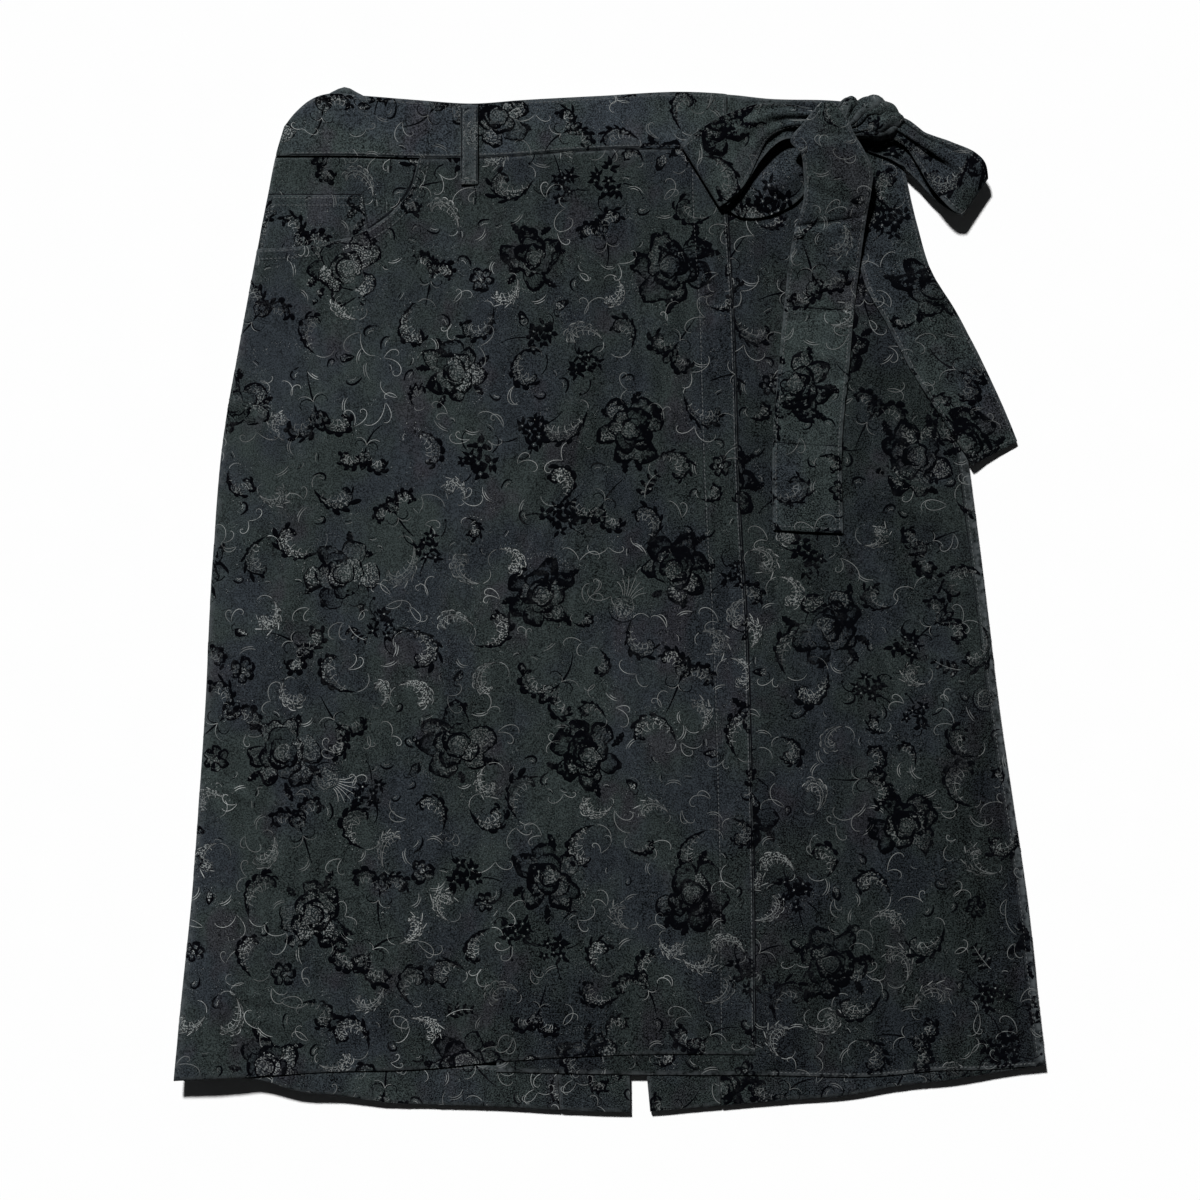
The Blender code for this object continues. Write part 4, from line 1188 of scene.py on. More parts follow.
def lay_belt_loop():
    """The belt loop: a flat strip sewn down at both ends, arched over the waistband."""
    rows = ramp(49)[:, None]
    x = LOOP_CENTRE[0] + LOOP_SIZE[0] * ramp(9, -0.5, 0.5)[None, :] + 0.0 * rows
    y = LOOP_CENTRE[1] + LOOP_SIZE[1] * (0.5 - rows) + 0.0 * x

    def surface(x, y):
        t = np.clip(0.5 - (y - LOOP_CENTRE[1]) / LOOP_SIZE[1], 0.0, 1.0)
        across = (x - LOOP_CENTRE[0]) / LOOP_SIZE[0]
        ribs = 0.35 * (bell((np.abs(across) - 0.30) / 0.10) - bell(across / 0.2) * 0.6)
        return LOOP_Z + LOOP_ARCH * np.sin(math.pi * t) ** 0.6 + ribs

    loop = Patch("belt_loop", x, y, surface, LOOP_WALL)
    loop.worn = np.maximum(loop.worn, 0.6)
    dress(loop, ROUND_RIM)


def laid_height(x, y):
    """Middle of a doubled strip that lies on the front and falls to the surface past the side."""
    cloth = under_height(x, y) + FRONT_HALF + TAIL_AIR + TAIL_HALF
    past = np.maximum(x - right_side(y) + 1.0, 0.0)
    return OVERHANG_Z + (cloth - OVERHANG_Z) * bell(past / OVERHANG_REACH)


def across_folds(rows, s, t):
    """Soft folds across a strip: each runs from a distance on one edge to a distance on the other."""
    total = 0.0 * s
    for one, other, half_width, height in rows:
        middle = one + (other - one) * t + 2.0 * np.sin(math.pi * t)
        total = total + height * (bell((s - middle) / half_width))
    return total


def hanging_end(name, rows, count, folds, seed):
    """A tail of the tie: its edges follow the table, its middle is a little crowned and folded."""
    def mid_level(row):
        if len(row) > 4:
            return row[4]
        return float(laid_height((row[0] + row[2]) / 2, (row[1] + row[3]) / 2))

    stations = resampled([row[:4] + (mid_level(row),) for row in rows], count)
    raised = [row[:4] + (float(len(row) > 4),) for row in rows]
    free = np.clip(resampled(raised, count)[:, 4], 0.0, 1.0)[:, None]
    flat = np.zeros(count + 1)
    one = joined(stations[:, 0], stations[:, 1], flat)
    other = joined(stations[:, 2], stations[:, 3], flat)

    def lift(points, s, t):
        x, y = points[..., 0], points[..., 1]
        lying = laid_height(x, y)
        resting = lying + wrinkles(x, y) * smooth((right_side(y) - x) / 12.0) * (1.0 - free)
        z = free * stations[:, 4:5] + (1.0 - free) * resting + TAIL_CROWN * np.sin(math.pi * t)
        z = np.maximum(z, resting)
        z = z + across_folds(folds, s, t) + 0.55 * crumple(s, t * 50.0, seed)
        piping = 0.35 * (bell((t - 0.055) / 0.04) + bell((t - 0.945) / 0.04))
        return joined(x, y, np.maximum(z + piping, 1.4))

    return Strip(name, one, other, 24, chosen("cloth").tie / MM, lift)


def tie_lead_strip():
    """The tie from the wrap's waistband to the knot, drawn into folds that gather towards it."""
    rows = resampled(TIE_LEAD, 44)
    height = np.full(len(rows), WRAP_BAND_Z)
    one = joined(rows[:, 0], rows[:, 1], height)
    other = joined(rows[:, 0], rows[:, 2], height)

    def lift(points, s, t):
        gather = smooth(s / 70.0)
        folds = 1.1 * gather * (0.5 + 0.5 * np.cos(2.0 * math.pi * (2.5 * t + 0.2 * np.sin(s / 14.0))))
        return points + (folds + 0.3 * crumple(s, t * 40.0, 47))[..., None] * UP

    return Strip("tie_lead", one, other, 22, chosen("cloth").tie / MM, lift)


def lay_tie():
    """The tie's lead, the end that hangs in front and the end that hangs over the side."""
    pieces = (
        tie_lead_strip(),
        hanging_end("front_tail", FRONT_TAIL, 150, FRONT_TAIL_FOLDS, 51),
        hanging_end("side_tail", SIDE_TAIL, 120, SIDE_TAIL_FOLDS, 57),
    )
    for cloth in pieces:
        dress(cloth, ROUND_RIM)


def bow_loop(name, rows, count, folds, flip):
    """A loop of the bow: a strip carried out to the tip and back, crowned away from its fold.

    Its under side swells up into the open loop.
    """
    stations = resampled(rows, count)
    way = ramp(count + 1)[:, None]
    upper_half = smooth((way - 0.55) / 0.2)
    swelling = LOOP_SWELL[name] * smooth(way / 0.12) * smooth((0.42 - way) / 0.2)

    def lift(points, s, t):
        crown = LOOP_CROWN * upper_half * np.sin(math.pi * t)
        raised = crown + upper_half * folds(s / s.max(), t) + 0.5 * crumple(s, t * 50.0, 61)
        return points + (raised + swelling * bell((t - 0.62) / 0.22))[..., None] * UP

    cloth = Strip(name, stations[:, :3], stations[:, 3:], 40, chosen("cloth").tie / MM, lift)
    if flip:
        cloth.points = cloth.points[:, ::-1]
        cloth.normals = grid_normals(cloth.points)
    return cloth


def left_loop_folds(s, t):
    """Relief of the left loop's front: a raised roll along its free edge and a fold towards the knot.

    s runs from the loop's start under the knot to its end on top, t from its upper to its lower edge.
    """
    roll = 1.3 * bell((t - 0.86) / 0.10) - 1.5 * bell((t - 0.62) / 0.12)
    ridge = 1.3 * bell((t - 0.38) / 0.11) - 1.0 * bell((t - 0.15) / 0.09)
    pinch = -1.5 * bell((s - 0.80 - 0.10 * t) / 0.022) * smooth(t * 2.0)
    second = -1.3 * bell((s - 0.70 - 0.16 * t) / 0.018) * smooth(1.4 - t * 2.0)
    return (roll + ridge) * smooth((s - 0.56) / 0.12) + pinch + second


def right_loop_folds(s, t):
    """Relief of the right loop's front: the upper ply ends in a sharp fold, and beyond it the cloth dips
    into the open tip and rises again to the sewn edge.
    """
    line = 0.46 + 0.16 * smooth((s - 0.60) / 0.34)
    beyond = smooth((t - line) / 0.035)
    dip = -3.4 * beyond * (1.0 - 0.85 * smooth((t - 0.66) / 0.18))
    tip = 1.0 + 0.4 * bell((s - 0.62) / 0.07)
    ridge = 1.3 * bell((t - line + 0.05) / 0.05) - 1.6 * bell((t - 0.20) / 0.07)
    pinch = -1.8 * bell((s - 0.84 + 0.08 * t) / 0.02) + 0.9 * bell((s - 0.72 - 0.1 * t) / 0.03)
    return dip * tip * smooth((0.97 - s) / 0.2) + ridge + pinch * smooth((0.8 - t) / 0.3)


def tie_bow():
    """Both loops of the bow, the second ply at the left loop's edge and the knot."""
    dress(bow_loop("bow_left_loop", LEFT_LOOP, 150, left_loop_folds, True), ROUND_RIM)
    dress(bow_loop("bow_right_loop", RIGHT_LOOP, 130, right_loop_folds, False), ROUND_RIM)
    edges = resampled(LEFT_PLY, 60)
    ply = Strip("bow_ply", edges[:, :3], edges[:, 3:], 10, chosen("cloth").tie / MM * 0.7)
    dress(ply, ROUND_RIM, own_node=False)
    dress(bow_knot(), 2)


def bow_knot():
    """The knot: the tie carried once over itself, drawn together at both ends and gathered into folds.

    t runs along the knot and phi over it from its far to its near side. Each section is half an ellipse
    that narrows towards the ends. The folds are sharp valleys that spread from one place near its left
    end, each the root of a sine wave of the direction from there.
    """
    rows, count = 96, 120
    phi = ramp(rows, -0.55, math.pi + 0.55)[:, None]
    t = ramp(count, -1.0, 1.0)[None, :]
    narrow = np.sqrt(np.maximum(1.0 - np.abs(t) ** 2.6, 0.0)) * 0.86 + 0.14
    uneven = 1.0 + 0.07 * np.sin(5.0 * t + 0.8) + 0.05 * np.sin(9.0 * t + 2.0) * np.cos(phi)
    x = KNOT_HALF[0] * t + 1.2 * np.sin(2.0 * phi)
    across = np.cos(phi) * np.abs(np.cos(phi)) ** -0.12
    y = KNOT_HALF[1] * narrow * uneven * across
    z = KNOT_HALF[2] * narrow * uneven * np.sin(phi)
    from_x, from_y = x - KNOT_FOCUS[0], y - KNOT_FOCUS[1]
    angle = np.arctan2(from_y, from_x)
    reach = np.hypot(from_x, from_y)
    wander = 0.5 * lattice_noise(x / 9.0 + 9, y / 9.0 + 9, 1.0, 71)
    pinched = np.abs(np.sin(KNOT_FOLDS * angle / 2 + 0.6 + wander)) ** 0.5
    small = np.abs(np.sin(KNOT_FOLDS * angle * 1.37 + 2.0 * wander)) ** 0.6
    depth = KNOT_FOLD_DEPTH * smooth(reach / 14.0)
    fold = depth * (pinched - 0.8 + 0.35 * (small - 0.6)) + 0.5 * lattice_noise(x + 50, y + 50, 5.0, 72)
    y = y + fold * np.cos(phi) * narrow
    z = z + fold * np.sin(phi)
    c, s = math.cos(KNOT_TILT), math.sin(KNOT_TILT)
    points = joined(x * c - y * s, x * s + y * c, z) + np.array(KNOT_CENTRE)
    way = distances(points[:, count // 2])

    def locate(p, q):
        row = np.interp(q, way, np.arange(rows), left=-1.0, right=rows)
        return row, (p / KNOT_HALF[0] + 1.0) / 2 * (count - 1)

    # Paler on the ridges of its folds: wear, and painted highlight where the ridges catch the light.
    worn = 0.8 * smooth((pinched - 0.82) / 0.15) * smooth(reach / 14.0)
    return Cloth("bow_knot", points, KNOT_WALL, locate, worn)


# Cross sections of a woven line: places across it and heights over the cloth.
SECTIONS = {
    "pile": ((-1.0, -0.75, 0.75, 1.0), (-0.1, 0.14, 0.14, -0.1)),
    "nap": ((-1.0, 0.0, 1.0), (-0.1, 0.15, -0.1)),
    "line": ((-1.0, 0.0, 1.0), (-0.1, 0.18, -0.1)),
}
# Which kinds of figures make each of the three woven layers, and how high a dot stands.
LAYERS = {"flowers": ("pile", "nap", "seed"), "tracery": ("line", "speck"), "figures": ("disc", "leaf")}
DOT_HEIGHTS = (-0.1, 0.2)
# What the figured cloth's material reads at each point of a disc or a leaf.
MARKS = ("rim", "shade", "dense", "root", "across", "along")
SUNK = -0.1
DISC_RINGS = np.array([0.30, 0.66, 0.93, 1.0])[:, None]
DISC_TURN = 14
LEAF_COLUMNS = np.array([-1.0, -0.82, 0.1, 0.82, 1.0])


class Drawing:
    """Woven figures in the pattern's plane, as lists of arrays under a key: places first, then values.

    A line is a row of points with a width to each side at every point, a dot is a spot with a radius, and
    a patch is a grid of points with a height and the material's marks at every point.
    """

    def __init__(self):
        self.rows = {}

    def put(self, key, depth, places, *values):
        """Adds figures whose grids have `depth` axes. A value may be shared by many points or figures."""
        grid = places.shape[places.ndim - 1 - depth:-1]
        full = [np.broadcast_to(value, places.shape[:-1]).reshape(-1, *grid) for value in values]
        self.rows.setdefault((*key, *grid), []).append((places.reshape(-1, *grid, 2), *full))

    def add(self, kind, points, left, right=None, lift=0.0):
        """Adds lines, as wide to the right as to the left unless told otherwise."""
        self.put((kind, lift), 1, points, left, left if right is None else right)

    def add_dots(self, kind, spots, radius, lift=0.0):
        """Adds a dot at every spot."""
        self.put((kind, lift), 0, spots, radius)

    def add_patch(self, kind, points, height, *marks):
        """Adds patches with the marks that the figured cloth reads."""
        self.put((kind, 0.0), 2, points, height, *marks)

    def gathered(self):
        """For each key, its figures' places and values, each joined in one array."""
        return {key: [np.concatenate(group) for group in zip(*parts)] for key, parts in self.rows.items()}

    def moved(self, angle, shift):
        """The same drawing turned and shifted in its plane."""
        c, s = math.cos(angle), math.sin(angle)
        other = Drawing()
        for key, (places, *values) in self.gathered().items():
            other.rows[key] = [(places @ np.array([[c, s], [-s, c]]) + shift, *values)]
        return other


def inner(count):
    """Which of `count` points in a row stand between two others."""
    return np.minimum(np.arange(count), np.arange(count)[::-1]) > 0


def ribbons(cloth, kind, lift, side, gain, line, left, right):
    """Points and faces of lines laid on a cloth: each line's points moved sideways and lifted."""
    places, lifts = (np.array(values) for values in SECTIONS[kind])
    reach = np.where(places < 0, right[..., None] * places, left[..., None] * places)
    spots = line[:, :, None, :] + leftwards(line)[:, :, None, :] * reach[..., None]
    stand = gain * (1.0 + 0.3 * np.modf(np.arange(len(line)) * 0.618)[0])
    raised = np.where(lifts > 0, lifts[None, :] * stand[:, None] + lift, lifts)
    height = np.where(inner(line.shape[1])[None, :, None], raised[:, None, :], lifts[0])
    placed, inside = cloth.on(spots[..., 0], spots[..., 1], height, side)
    return placed, inside, grid_faces(np.arange(inside.size).reshape(inside.shape)), ()


def beads(cloth, kind, lift, side, gain, spots, radius):
    """Points and faces of dots: a low pyramid over four corners, as two folded quads."""
    angles = np.arange(4) * QUARTER + np.modf(np.arange(len(spots)) * 0.618)[0][:, None] * 3
    corners = spots[:, None] + polar(radius[:, None], angles)
    around = np.concatenate([corners, spots[:, None]], axis=1)
    height = np.where(np.arange(5) < 4, DOT_HEIGHTS[0], DOT_HEIGHTS[1] + lift) + 0.0 * around[..., 0]
    placed, inside = cloth.on(around[..., 0], around[..., 1], height, side)
    first = 5 * np.arange(len(spots))[:, None]
    return placed, inside, np.concatenate([first + [0, 1, 2, 4], first + [0, 4, 2, 3]]), ()


def patches(cloth, kind, lift, side, gain, spots, height, *marks):
    """Points, faces and marks of patches laid on a cloth. A disc's columns go all the way round."""
    placed, inside = cloth.on(spots[..., 0], spots[..., 1], height, side)
    number = np.arange(inside.size).reshape(inside.shape)
    if kind == "disc":
        faces = grid_faces(np.concatenate([number, number[:, :, :1]], axis=2))
        last = DISC_TURN - 1
        heart = [number[:, 0, [k, k + 1, last - k - 1, last - k]] for k in range(last // 2)]
        return placed, inside, np.concatenate([faces, *heart]), marks
    row, column = (size // 2 for size in spots.shape[1:3])
    down = spots[:, row + 1, column] - spots[:, row, column]
    over = spots[:, row, column + 1] - spots[:, row, column]
    turned = down[:, 0] * over[:, 1] - down[:, 1] * over[:, 0] < 0
    number = np.where(turned[:, None, None], number[:, :, ::-1], number)
    return placed, inside, grid_faces(number), marks


MAKERS = {"line": ribbons, "pile": ribbons, "nap": ribbons, "seed": beads, "speck": beads}


def woven(cloth, name, drawing, kinds, material, side=1.0, gain=1.0):
    """A drawing's figures of some kinds, laid on a cloth with their edges just under its face."""
    parts = []
    start = 0
    for (kind, lift, *_), (places, *values) in drawing.gathered().items():
        keep = cloth.near(places.reshape(len(places), -1, 2).mean(axis=1))
        if kind not in kinds or not keep.any():
            continue
        make = MAKERS.get(kind, patches)
        kept_values = (array[keep] for array in (places, *values))
        placed, inside, faces, marks = make(cloth, kind, lift, side, gain, *kept_values)
        on_cloth = inside.reshape(-1)[faces]
        faces = faces[on_cloth.all(axis=1) if make is beads else on_cloth.any(axis=1)]
        parts.append((placed.reshape(-1, 3), faces + start, *(mark.reshape(-1) for mark in marks)))
        start += inside.size
    points, faces, *marks = (np.concatenate(group) for group in zip(*parts)) if parts else ((), ())
    if not len(faces):
        return None
    faces = faces if side > 0 else faces[:, ::-1]
    used, packed = np.unique(faces, return_inverse=True)
    marks = {key: values[used] for key, values in zip(MARKS, marks)}
    piece = new_mesh(name, points[used], packed.reshape(-1, 4).tolist(), material, marks, parent=cloth.piece)
    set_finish(piece, cloth.piece["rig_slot"])
    return piece


def swept(start, heading, length):
    """Points of a line that sets out from `start` and turns as `heading` says, in even steps."""
    step = np.asarray(length)[..., None] / (heading.shape[-1] - 1)
    way = np.cumsum(polar(step, heading), axis=-2)
    return start[..., None, :] + way - way[..., :1, :]


def swell(count, power=0.7):
    """Width along a line: nothing at its ends and fullest between them."""
    return np.sin(math.pi * ramp(count)) ** power


def polar(radius, angle):
    """The point at a distance and an angle from the middle."""
    return joined(radius * np.cos(angle), radius * np.sin(angle))


def torn(rng, shape, depth=0.3):
    """Ragged sizes: 1 with a random part of `depth` taken off or put on."""
    return 1.0 + depth * rng.uniform(-1.0, 1.0, shape)


def any_way(rng, centre):
    """A direction at random for each figure."""
    return rng.uniform(0.0, TURN, (len(centre), 1))


def around(rng, many, count, spread=0.12):
    """Directions for `count` parts round each of many figures, from a random one and a little uneven."""
    even = np.linspace(0.0, TURN, count, endpoint=False)
    return rng.uniform(0.0, TURN, (many, 1)) + even + rng.normal(0.0, spread, (many, count))


def draw_lobes(drawing, rng, centre, aim, long, broad, shade, lift, dense=0.7, notch=0.12):
    """Lobes, each a disc of cloth over those that lie lower, heavier outlined at its tip.

    At the angle t from its aim a lobe's radius is that of an ellipse, times two small waves, and drawn in
    where t is 0 by its notch.
    """
    t = np.linspace(-math.pi, math.pi, DISC_TURN, endpoint=False)
    sizes = (long, broad, shade, lift, dense, notch)
    long, broad, shade, lift, dense, notch = (np.broadcast_to(size, aim.shape)[..., None] for size in sizes)
    wave = rng.uniform(0.0, 6.3, (2, *aim.shape, 1))
    radius = long * broad / np.hypot(broad * np.cos(t), long * np.sin(t))
    radius = radius * (1.0 + 0.09 * np.sin(3 * t + wave[0]) + 0.06 * np.sin(5 * t + wave[1]))
    radius = (radius * (1.0 - notch * bell(t / 0.4)))[..., None, :]
    flank = rng.normal(0.0, 0.8, aim.shape)[..., None]
    heavy = shade * (0.16 + 0.84 * (0.5 + 0.5 * np.cos(t - flank)) ** 1.3)
    ring = radius * DISC_RINGS
    spots = centre[..., None, None, :] + polar(ring, (t + aim[..., None])[..., None, :])
    forward = ring * np.cos(t)
    root = smooth(0.75 - forward / long[..., None])
    across = ring * np.sin(t) + rng.uniform(0.0, 900.0, aim.shape)[..., None, None]
    height = np.where(DISC_RINGS < 1.0, lift[..., None], SUNK)
    marks = (radius * (1 - DISC_RINGS), heavy[..., None, :], dense[..., None], root, across, forward)
    drawing.add_patch("disc", spots, height, *marks)


def draw_leaves(drawing, rng, rib, outer, light, shade, dense, lift, root):
    """Leaves along a rib: `outer` is the width to its dark side and `light` the width to its light side.

    A negative `outer` puts the dark side on the right of the rib.
    """
    outer, light, shade = (np.broadcast_to(size, rib.shape[:-1])[..., None] for size in (outer, light, shade))
    a = LEAF_COLUMNS
    reach = np.where(a > 0, a * outer, a * light * np.sign(outer))
    spots = rib[..., None, :] + leftwards(rib)[..., None, :] * reach[..., None]
    rim = np.where(a > 0, (1 - a) * np.abs(outer), (1 + a) * light)
    dark = np.where(a > 0, shade, 0.12 * shade)
    height = np.where(inner(rib.shape[-2])[:, None] & (np.abs(a) < 1), lift, SUNK)
    across = a * 3.0 + rng.uniform(0.0, 900.0, rib.shape[:-2])[..., None, None]
    along = np.arange(rib.shape[-2])[:, None] * 1.5
    drawing.add_patch("leaf", spots, height, rim, dark, dense, root, across, along)


def draw_pearls(drawing, line, radius):
    """Grey dots at the points of a line."""
    drawing.add_dots("speck", line, radius)


def draw_roses(drawing, rng, centre, size):
    """Full roses: three rings of overlapping lobes round a cupped heart, darker on one side, with leaves.

    Roses grow blacker from the left of the cloth to its right.
    """
    many = len(centre)
    size = size[:, None]
    dark = any_way(rng, centre)
    strength = rng.uniform(1.0, 1.4, (many, 1)) + 0.4 * np.tanh((centre[:, :1] + 90.0) / 90.0)
    aim = around(rng, many, 5, 0.35)
    heading = aim[..., None] + rng.uniform(-1.1, 1.1, (many, 5, 1)) * ramp(10)
    rib = swept(centre[:, None] + polar(0.70 * size, aim), heading, size * rng.uniform(0.35, 0.62, (many, 5)))
    width = size[..., None] * 0.12 * swell(10, 0.8) * np.where(np.arange(10) % 2, 1.2, 0.75)
    draw_leaves(drawing, rng, rib, width, 0.8 * width, 1.0 * strength[..., None], 0.5, 0.1, 0.6)
    rings = (
        (6, 0.64, 0.37, 0.32, 0.12, 0.18),
        (4, 0.37, 0.29, 0.38, 0.22, 0.12),
        (3, 0.17, 0.25, 0.31, 0.30, 0.0),
    )
    for lobes, out, long, broad, lift, notch in rings:
        aim = around(rng, many, lobes, 0.2)
        spot = centre[:, None] + polar(out * size * torn(rng, aim.shape, 0.12), aim)
        grown = size * torn(rng, aim.shape, 0.18)
        shade = strength * (0.55 + 0.65 * (0.5 + 0.5 * np.cos(aim - dark))) * torn(rng, aim.shape, 0.3)
        turn = aim + rng.normal(0.0, 0.3, aim.shape)
        order = lift + 0.01 * np.arange(lobes)
        dense = rng.choice([0.0, 0.25, 0.6], aim.shape)
        tips = rng.choice([-1.0, 0.3, 1.0], aim.shape) * notch
        draw_lobes(drawing, rng, spot, turn, long * grown, broad * grown, shade, order, dense, tips)
    heart = centre[:, None] - 0.04 * polar(size, dark)
    draw_lobes(drawing, rng, heart, dark, 0.27 * size, 0.24 * size, 0.3 * strength, 0.36, 0.35, 0.0)
    for out, thick, reach in ((0.26, 0.06, 1.8), (0.15, 0.024, 1.4)):
        arc = dark + rng.uniform(-0.8, 0.8, (many, 1)) + reach * ramp(11, -1.0, 1.0)
        drawing.add("nap", heart + polar(out * size, arc), 1.5 * thick * size * swell(11), lift=0.36)
    aim = any_way(rng, centre)
    for out, reach in ((1.02, 0.6), (1.1, 0.5)):
        draw_pearls(drawing, centre[:, None] + polar(out * size, aim + reach * ramp(13, -1, 1)), 0.52)


def draw_blossoms(drawing, rng, centre, size):
    """Bunches of star blossoms with thick pointed petals, on ball-ended stems."""
    many, blossoms, petals = len(centre), 6, 5
    turn = around(rng, many, blossoms, 0.3)
    out = np.array([0.08, 0.62, 0.55, 0.66, 0.48, 0.58]) * size[:, None] * torn(rng, (many, blossoms), 0.2)
    heart = centre[:, None] + polar(out, turn)
    wide = size[:, None] * rng.uniform(0.28, 0.46, (many, blossoms))
    stem = around(rng, many, 3, 0.4)
    heading = stem[..., None] + rng.uniform(-2.2, 2.2, (many, 3, 1)) * ramp(9) ** 1.5
    start = centre[:, None] + polar(0.7 * size[:, None], stem)
    line = swept(start, heading, size[:, None] * torn(rng, stem.shape))
    drawing.add("nap", line, ramp(9, 1.0, 0.5))
    drawing.add_dots("seed", line[:, :, -1], 2.0)
    aim = rng.uniform(0, 6.3, (many, blossoms, 1)) + np.linspace(0, TURN, petals, endpoint=False)
    aim = aim + rng.normal(0.0, 0.22, aim.shape)
    foot = heart[:, :, None] + polar(0.10 * wide[..., None] + 0 * aim, aim)
    heading = aim[..., None] + rng.uniform(-0.9, 0.9, (*aim.shape, 1)) * ramp(5)
    petal = swept(foot, heading, 1.15 * wide[..., None] * torn(rng, aim.shape, 0.3))
    body = np.array([0.55, 1.0, 0.90, 0.5, 0.0])
    drawing.add("pile", petal, 0.30 * wide[..., None, None] * body * torn(rng, (*aim.shape, 5), 0.25))
    drawing.add_dots("speck", heart, 0.8, 0.2)
    tip = heart[:, :, None] + polar(1.2 * wide[..., None] + 0 * aim, aim + 0.5)
    drawing.add_dots("speck", tip[:, :, ::2], 0.42)


def winding(rng, many, size, aim, hand):
    """Headings and points of a line that bends one way and winds in at its end."""
    s = ramp(25)
    bend = rng.uniform(1.3, 2.7, (many, 1)) * s**1.1 + rng.uniform(1.6, 4.0, (many, 1)) * s**4
    heading = aim + hand * bend
    return heading, swept(np.zeros((many, 2)), heading, size * rng.uniform(2.0, 2.7, many))


def draw_scrolls(drawing, rng, centre, size, dark=0.9, start=None, aim=None, hand=None):
    """Leafy scrolls: a stippled leaf on a winding rib, with a row of crescents down its outside."""
    many = len(centre)
    hand = rng.choice([-1.0, 1.0], many)[:, None] if hand is None else hand
    aim = any_way(rng, centre) if aim is None else aim
    heading, rib = winding(rng, many, size, aim, hand)
    rib = rib + (centre - rib.mean(axis=1) if start is None else start)[:, None]
    s = ramp(25)
    body = np.sin(math.pi * s**1.5) ** 0.7 * size[:, None]
    outer = 0.24 * body * torn(rng, (many, 25), 0.2)
    dense = rng.choice([0.3, 0.55, 0.8], many)[:, None, None]
    draw_leaves(drawing, rng, rib, -hand * outer, 0.20 * body, 0.5 * dark, dense, 0.1, 0.3 * dark)
    inward = hand[..., None] * joined(-np.sin(heading), np.cos(heading))
    picks = np.array([2, 5, 8, 11, 14, 17, 20])
    foot = (rib - inward * (0.17 * body)[..., None])[:, picks]
    flare = rng.choice([0.35, -0.9], (many, 1, 1))
    bend = (ramp(7, -0.7, 0.5) + flare * ramp(7) ** 2) * torn(rng, (many, 7, 1), 0.3)
    length = 0.40 * body[:, picks] * torn(rng, (many, 7))
    lobe = swept(foot, heading[:, picks, None] + hand[..., None] * bend, length)
    thick = body[:, picks, None] * swell(7, 0.6) * torn(rng, (many, 7, 1), 0.4)
    if dark > 0.4:
        drawing.add("pile", lobe, 0.12 * dark * thick, 0.085 * dark * thick, 0.1)
        vein = (rib + inward * (0.05 * body)[..., None])[:, 1:24:2]
        drawing.add("nap", vein, 0.4 + 0.6 * bell((s[1:24:2] - 1) / 0.1))
    else:
        drawing.add("line", lobe, 0.02 * thick + 0.08)
        drawing.add("line", rib[:, ::2], 0.26)
    picks = picks[1:6]
    bend = ramp(6, 0.7, 2.3) * torn(rng, (many, 5, 1), 0.2)
    frond = swept(rib[:, picks], heading[:, picks, None] + hand[..., None] * bend, 0.50 * body[:, picks])
    drawing.add("line", frond, 0.24 * swell(6, 0.5))
    draw_pearls(drawing, (rib + inward * (0.30 * body + 1.0)[..., None])[:, 3:22:2], 0.52)
    draw_pearls(drawing, (rib - inward * (0.46 * body + 1.0)[..., None])[:, 2:22:2], 0.50)
    tail = aim + math.pi - hand * ramp(9, 0.0, 1.8) ** 1.2
    drawing.add("line", swept(rib[:, 0], tail, size * rng.uniform(0.4, 1.1, many)), ramp(9, 0.30, 0.1))


def draw_grey_scrolls(drawing, rng, centre, size):
    """The same scrolls in grey lines, with hardly any black."""
    draw_scrolls(drawing, rng, centre, size, 0.16)


def draw_forks(drawing, rng, centre, size):
    """Forks: two leafy scrolls that part from one foot round a bud, over a stem with hooks."""
    many = len(centre)
    aim = any_way(rng, centre)
    foot = centre - 0.3 * polar(size, aim[:, 0])
    for hand in (-1.0, 1.0):
        side = hand + 0.0 * aim
        draw_scrolls(drawing, rng, centre, 0.62 * size, 1.15, foot, aim - 0.1 * side, side)
    wide = size[:, None]
    bud = foot[:, None] + polar(0.42 * wide, aim) + polar(0.12 * wide, aim + QUARTER * np.array([-1, 1, 0]))
    lean = aim + np.array([-0.5, 0.5, 0.0])
    draw_lobes(drawing, rng, bud, lean, 0.26 * wide, 0.13 * wide, 1.0, 0.1 + 0.03 * np.arange(3), 0.3, 0.0)
    s = ramp(10)
    heading = aim + math.pi + rng.uniform(-0.9, 0.9, (many, 1)) * s
    drawing.add("nap", swept(foot, heading, 0.9 * size), ramp(10, 1.4, 0.4))
    for hand in (-1.0, 1.0):
        heading = aim + math.pi + hand * (0.5 + 3.2 * s**1.5)
        drawing.add("nap", swept(foot, heading, 0.6 * size), 0.75 - 0.3 * s)


def draw_rosettes(drawing, rng, centre, size):
    """Round blossoms: six black-edged lobes round a stippled heart."""
    aim = around(rng, len(centre), 6)
    size = size[:, None]
    spot = centre[:, None] + polar(0.58 * size + 0 * aim, aim)
    grown = size * torn(rng, aim.shape, 0.12)
    draw_lobes(drawing, rng, spot, aim, 0.40 * grown, 0.34 * grown, 0.9, 0.1 + 0.01 * np.arange(6), 0.3, 0.1)
    draw_lobes(drawing, rng, centre[:, None], aim[:, :1], 0.28 * size, 0.26 * size, 0.4, 0.2, 1.0, 0.0)


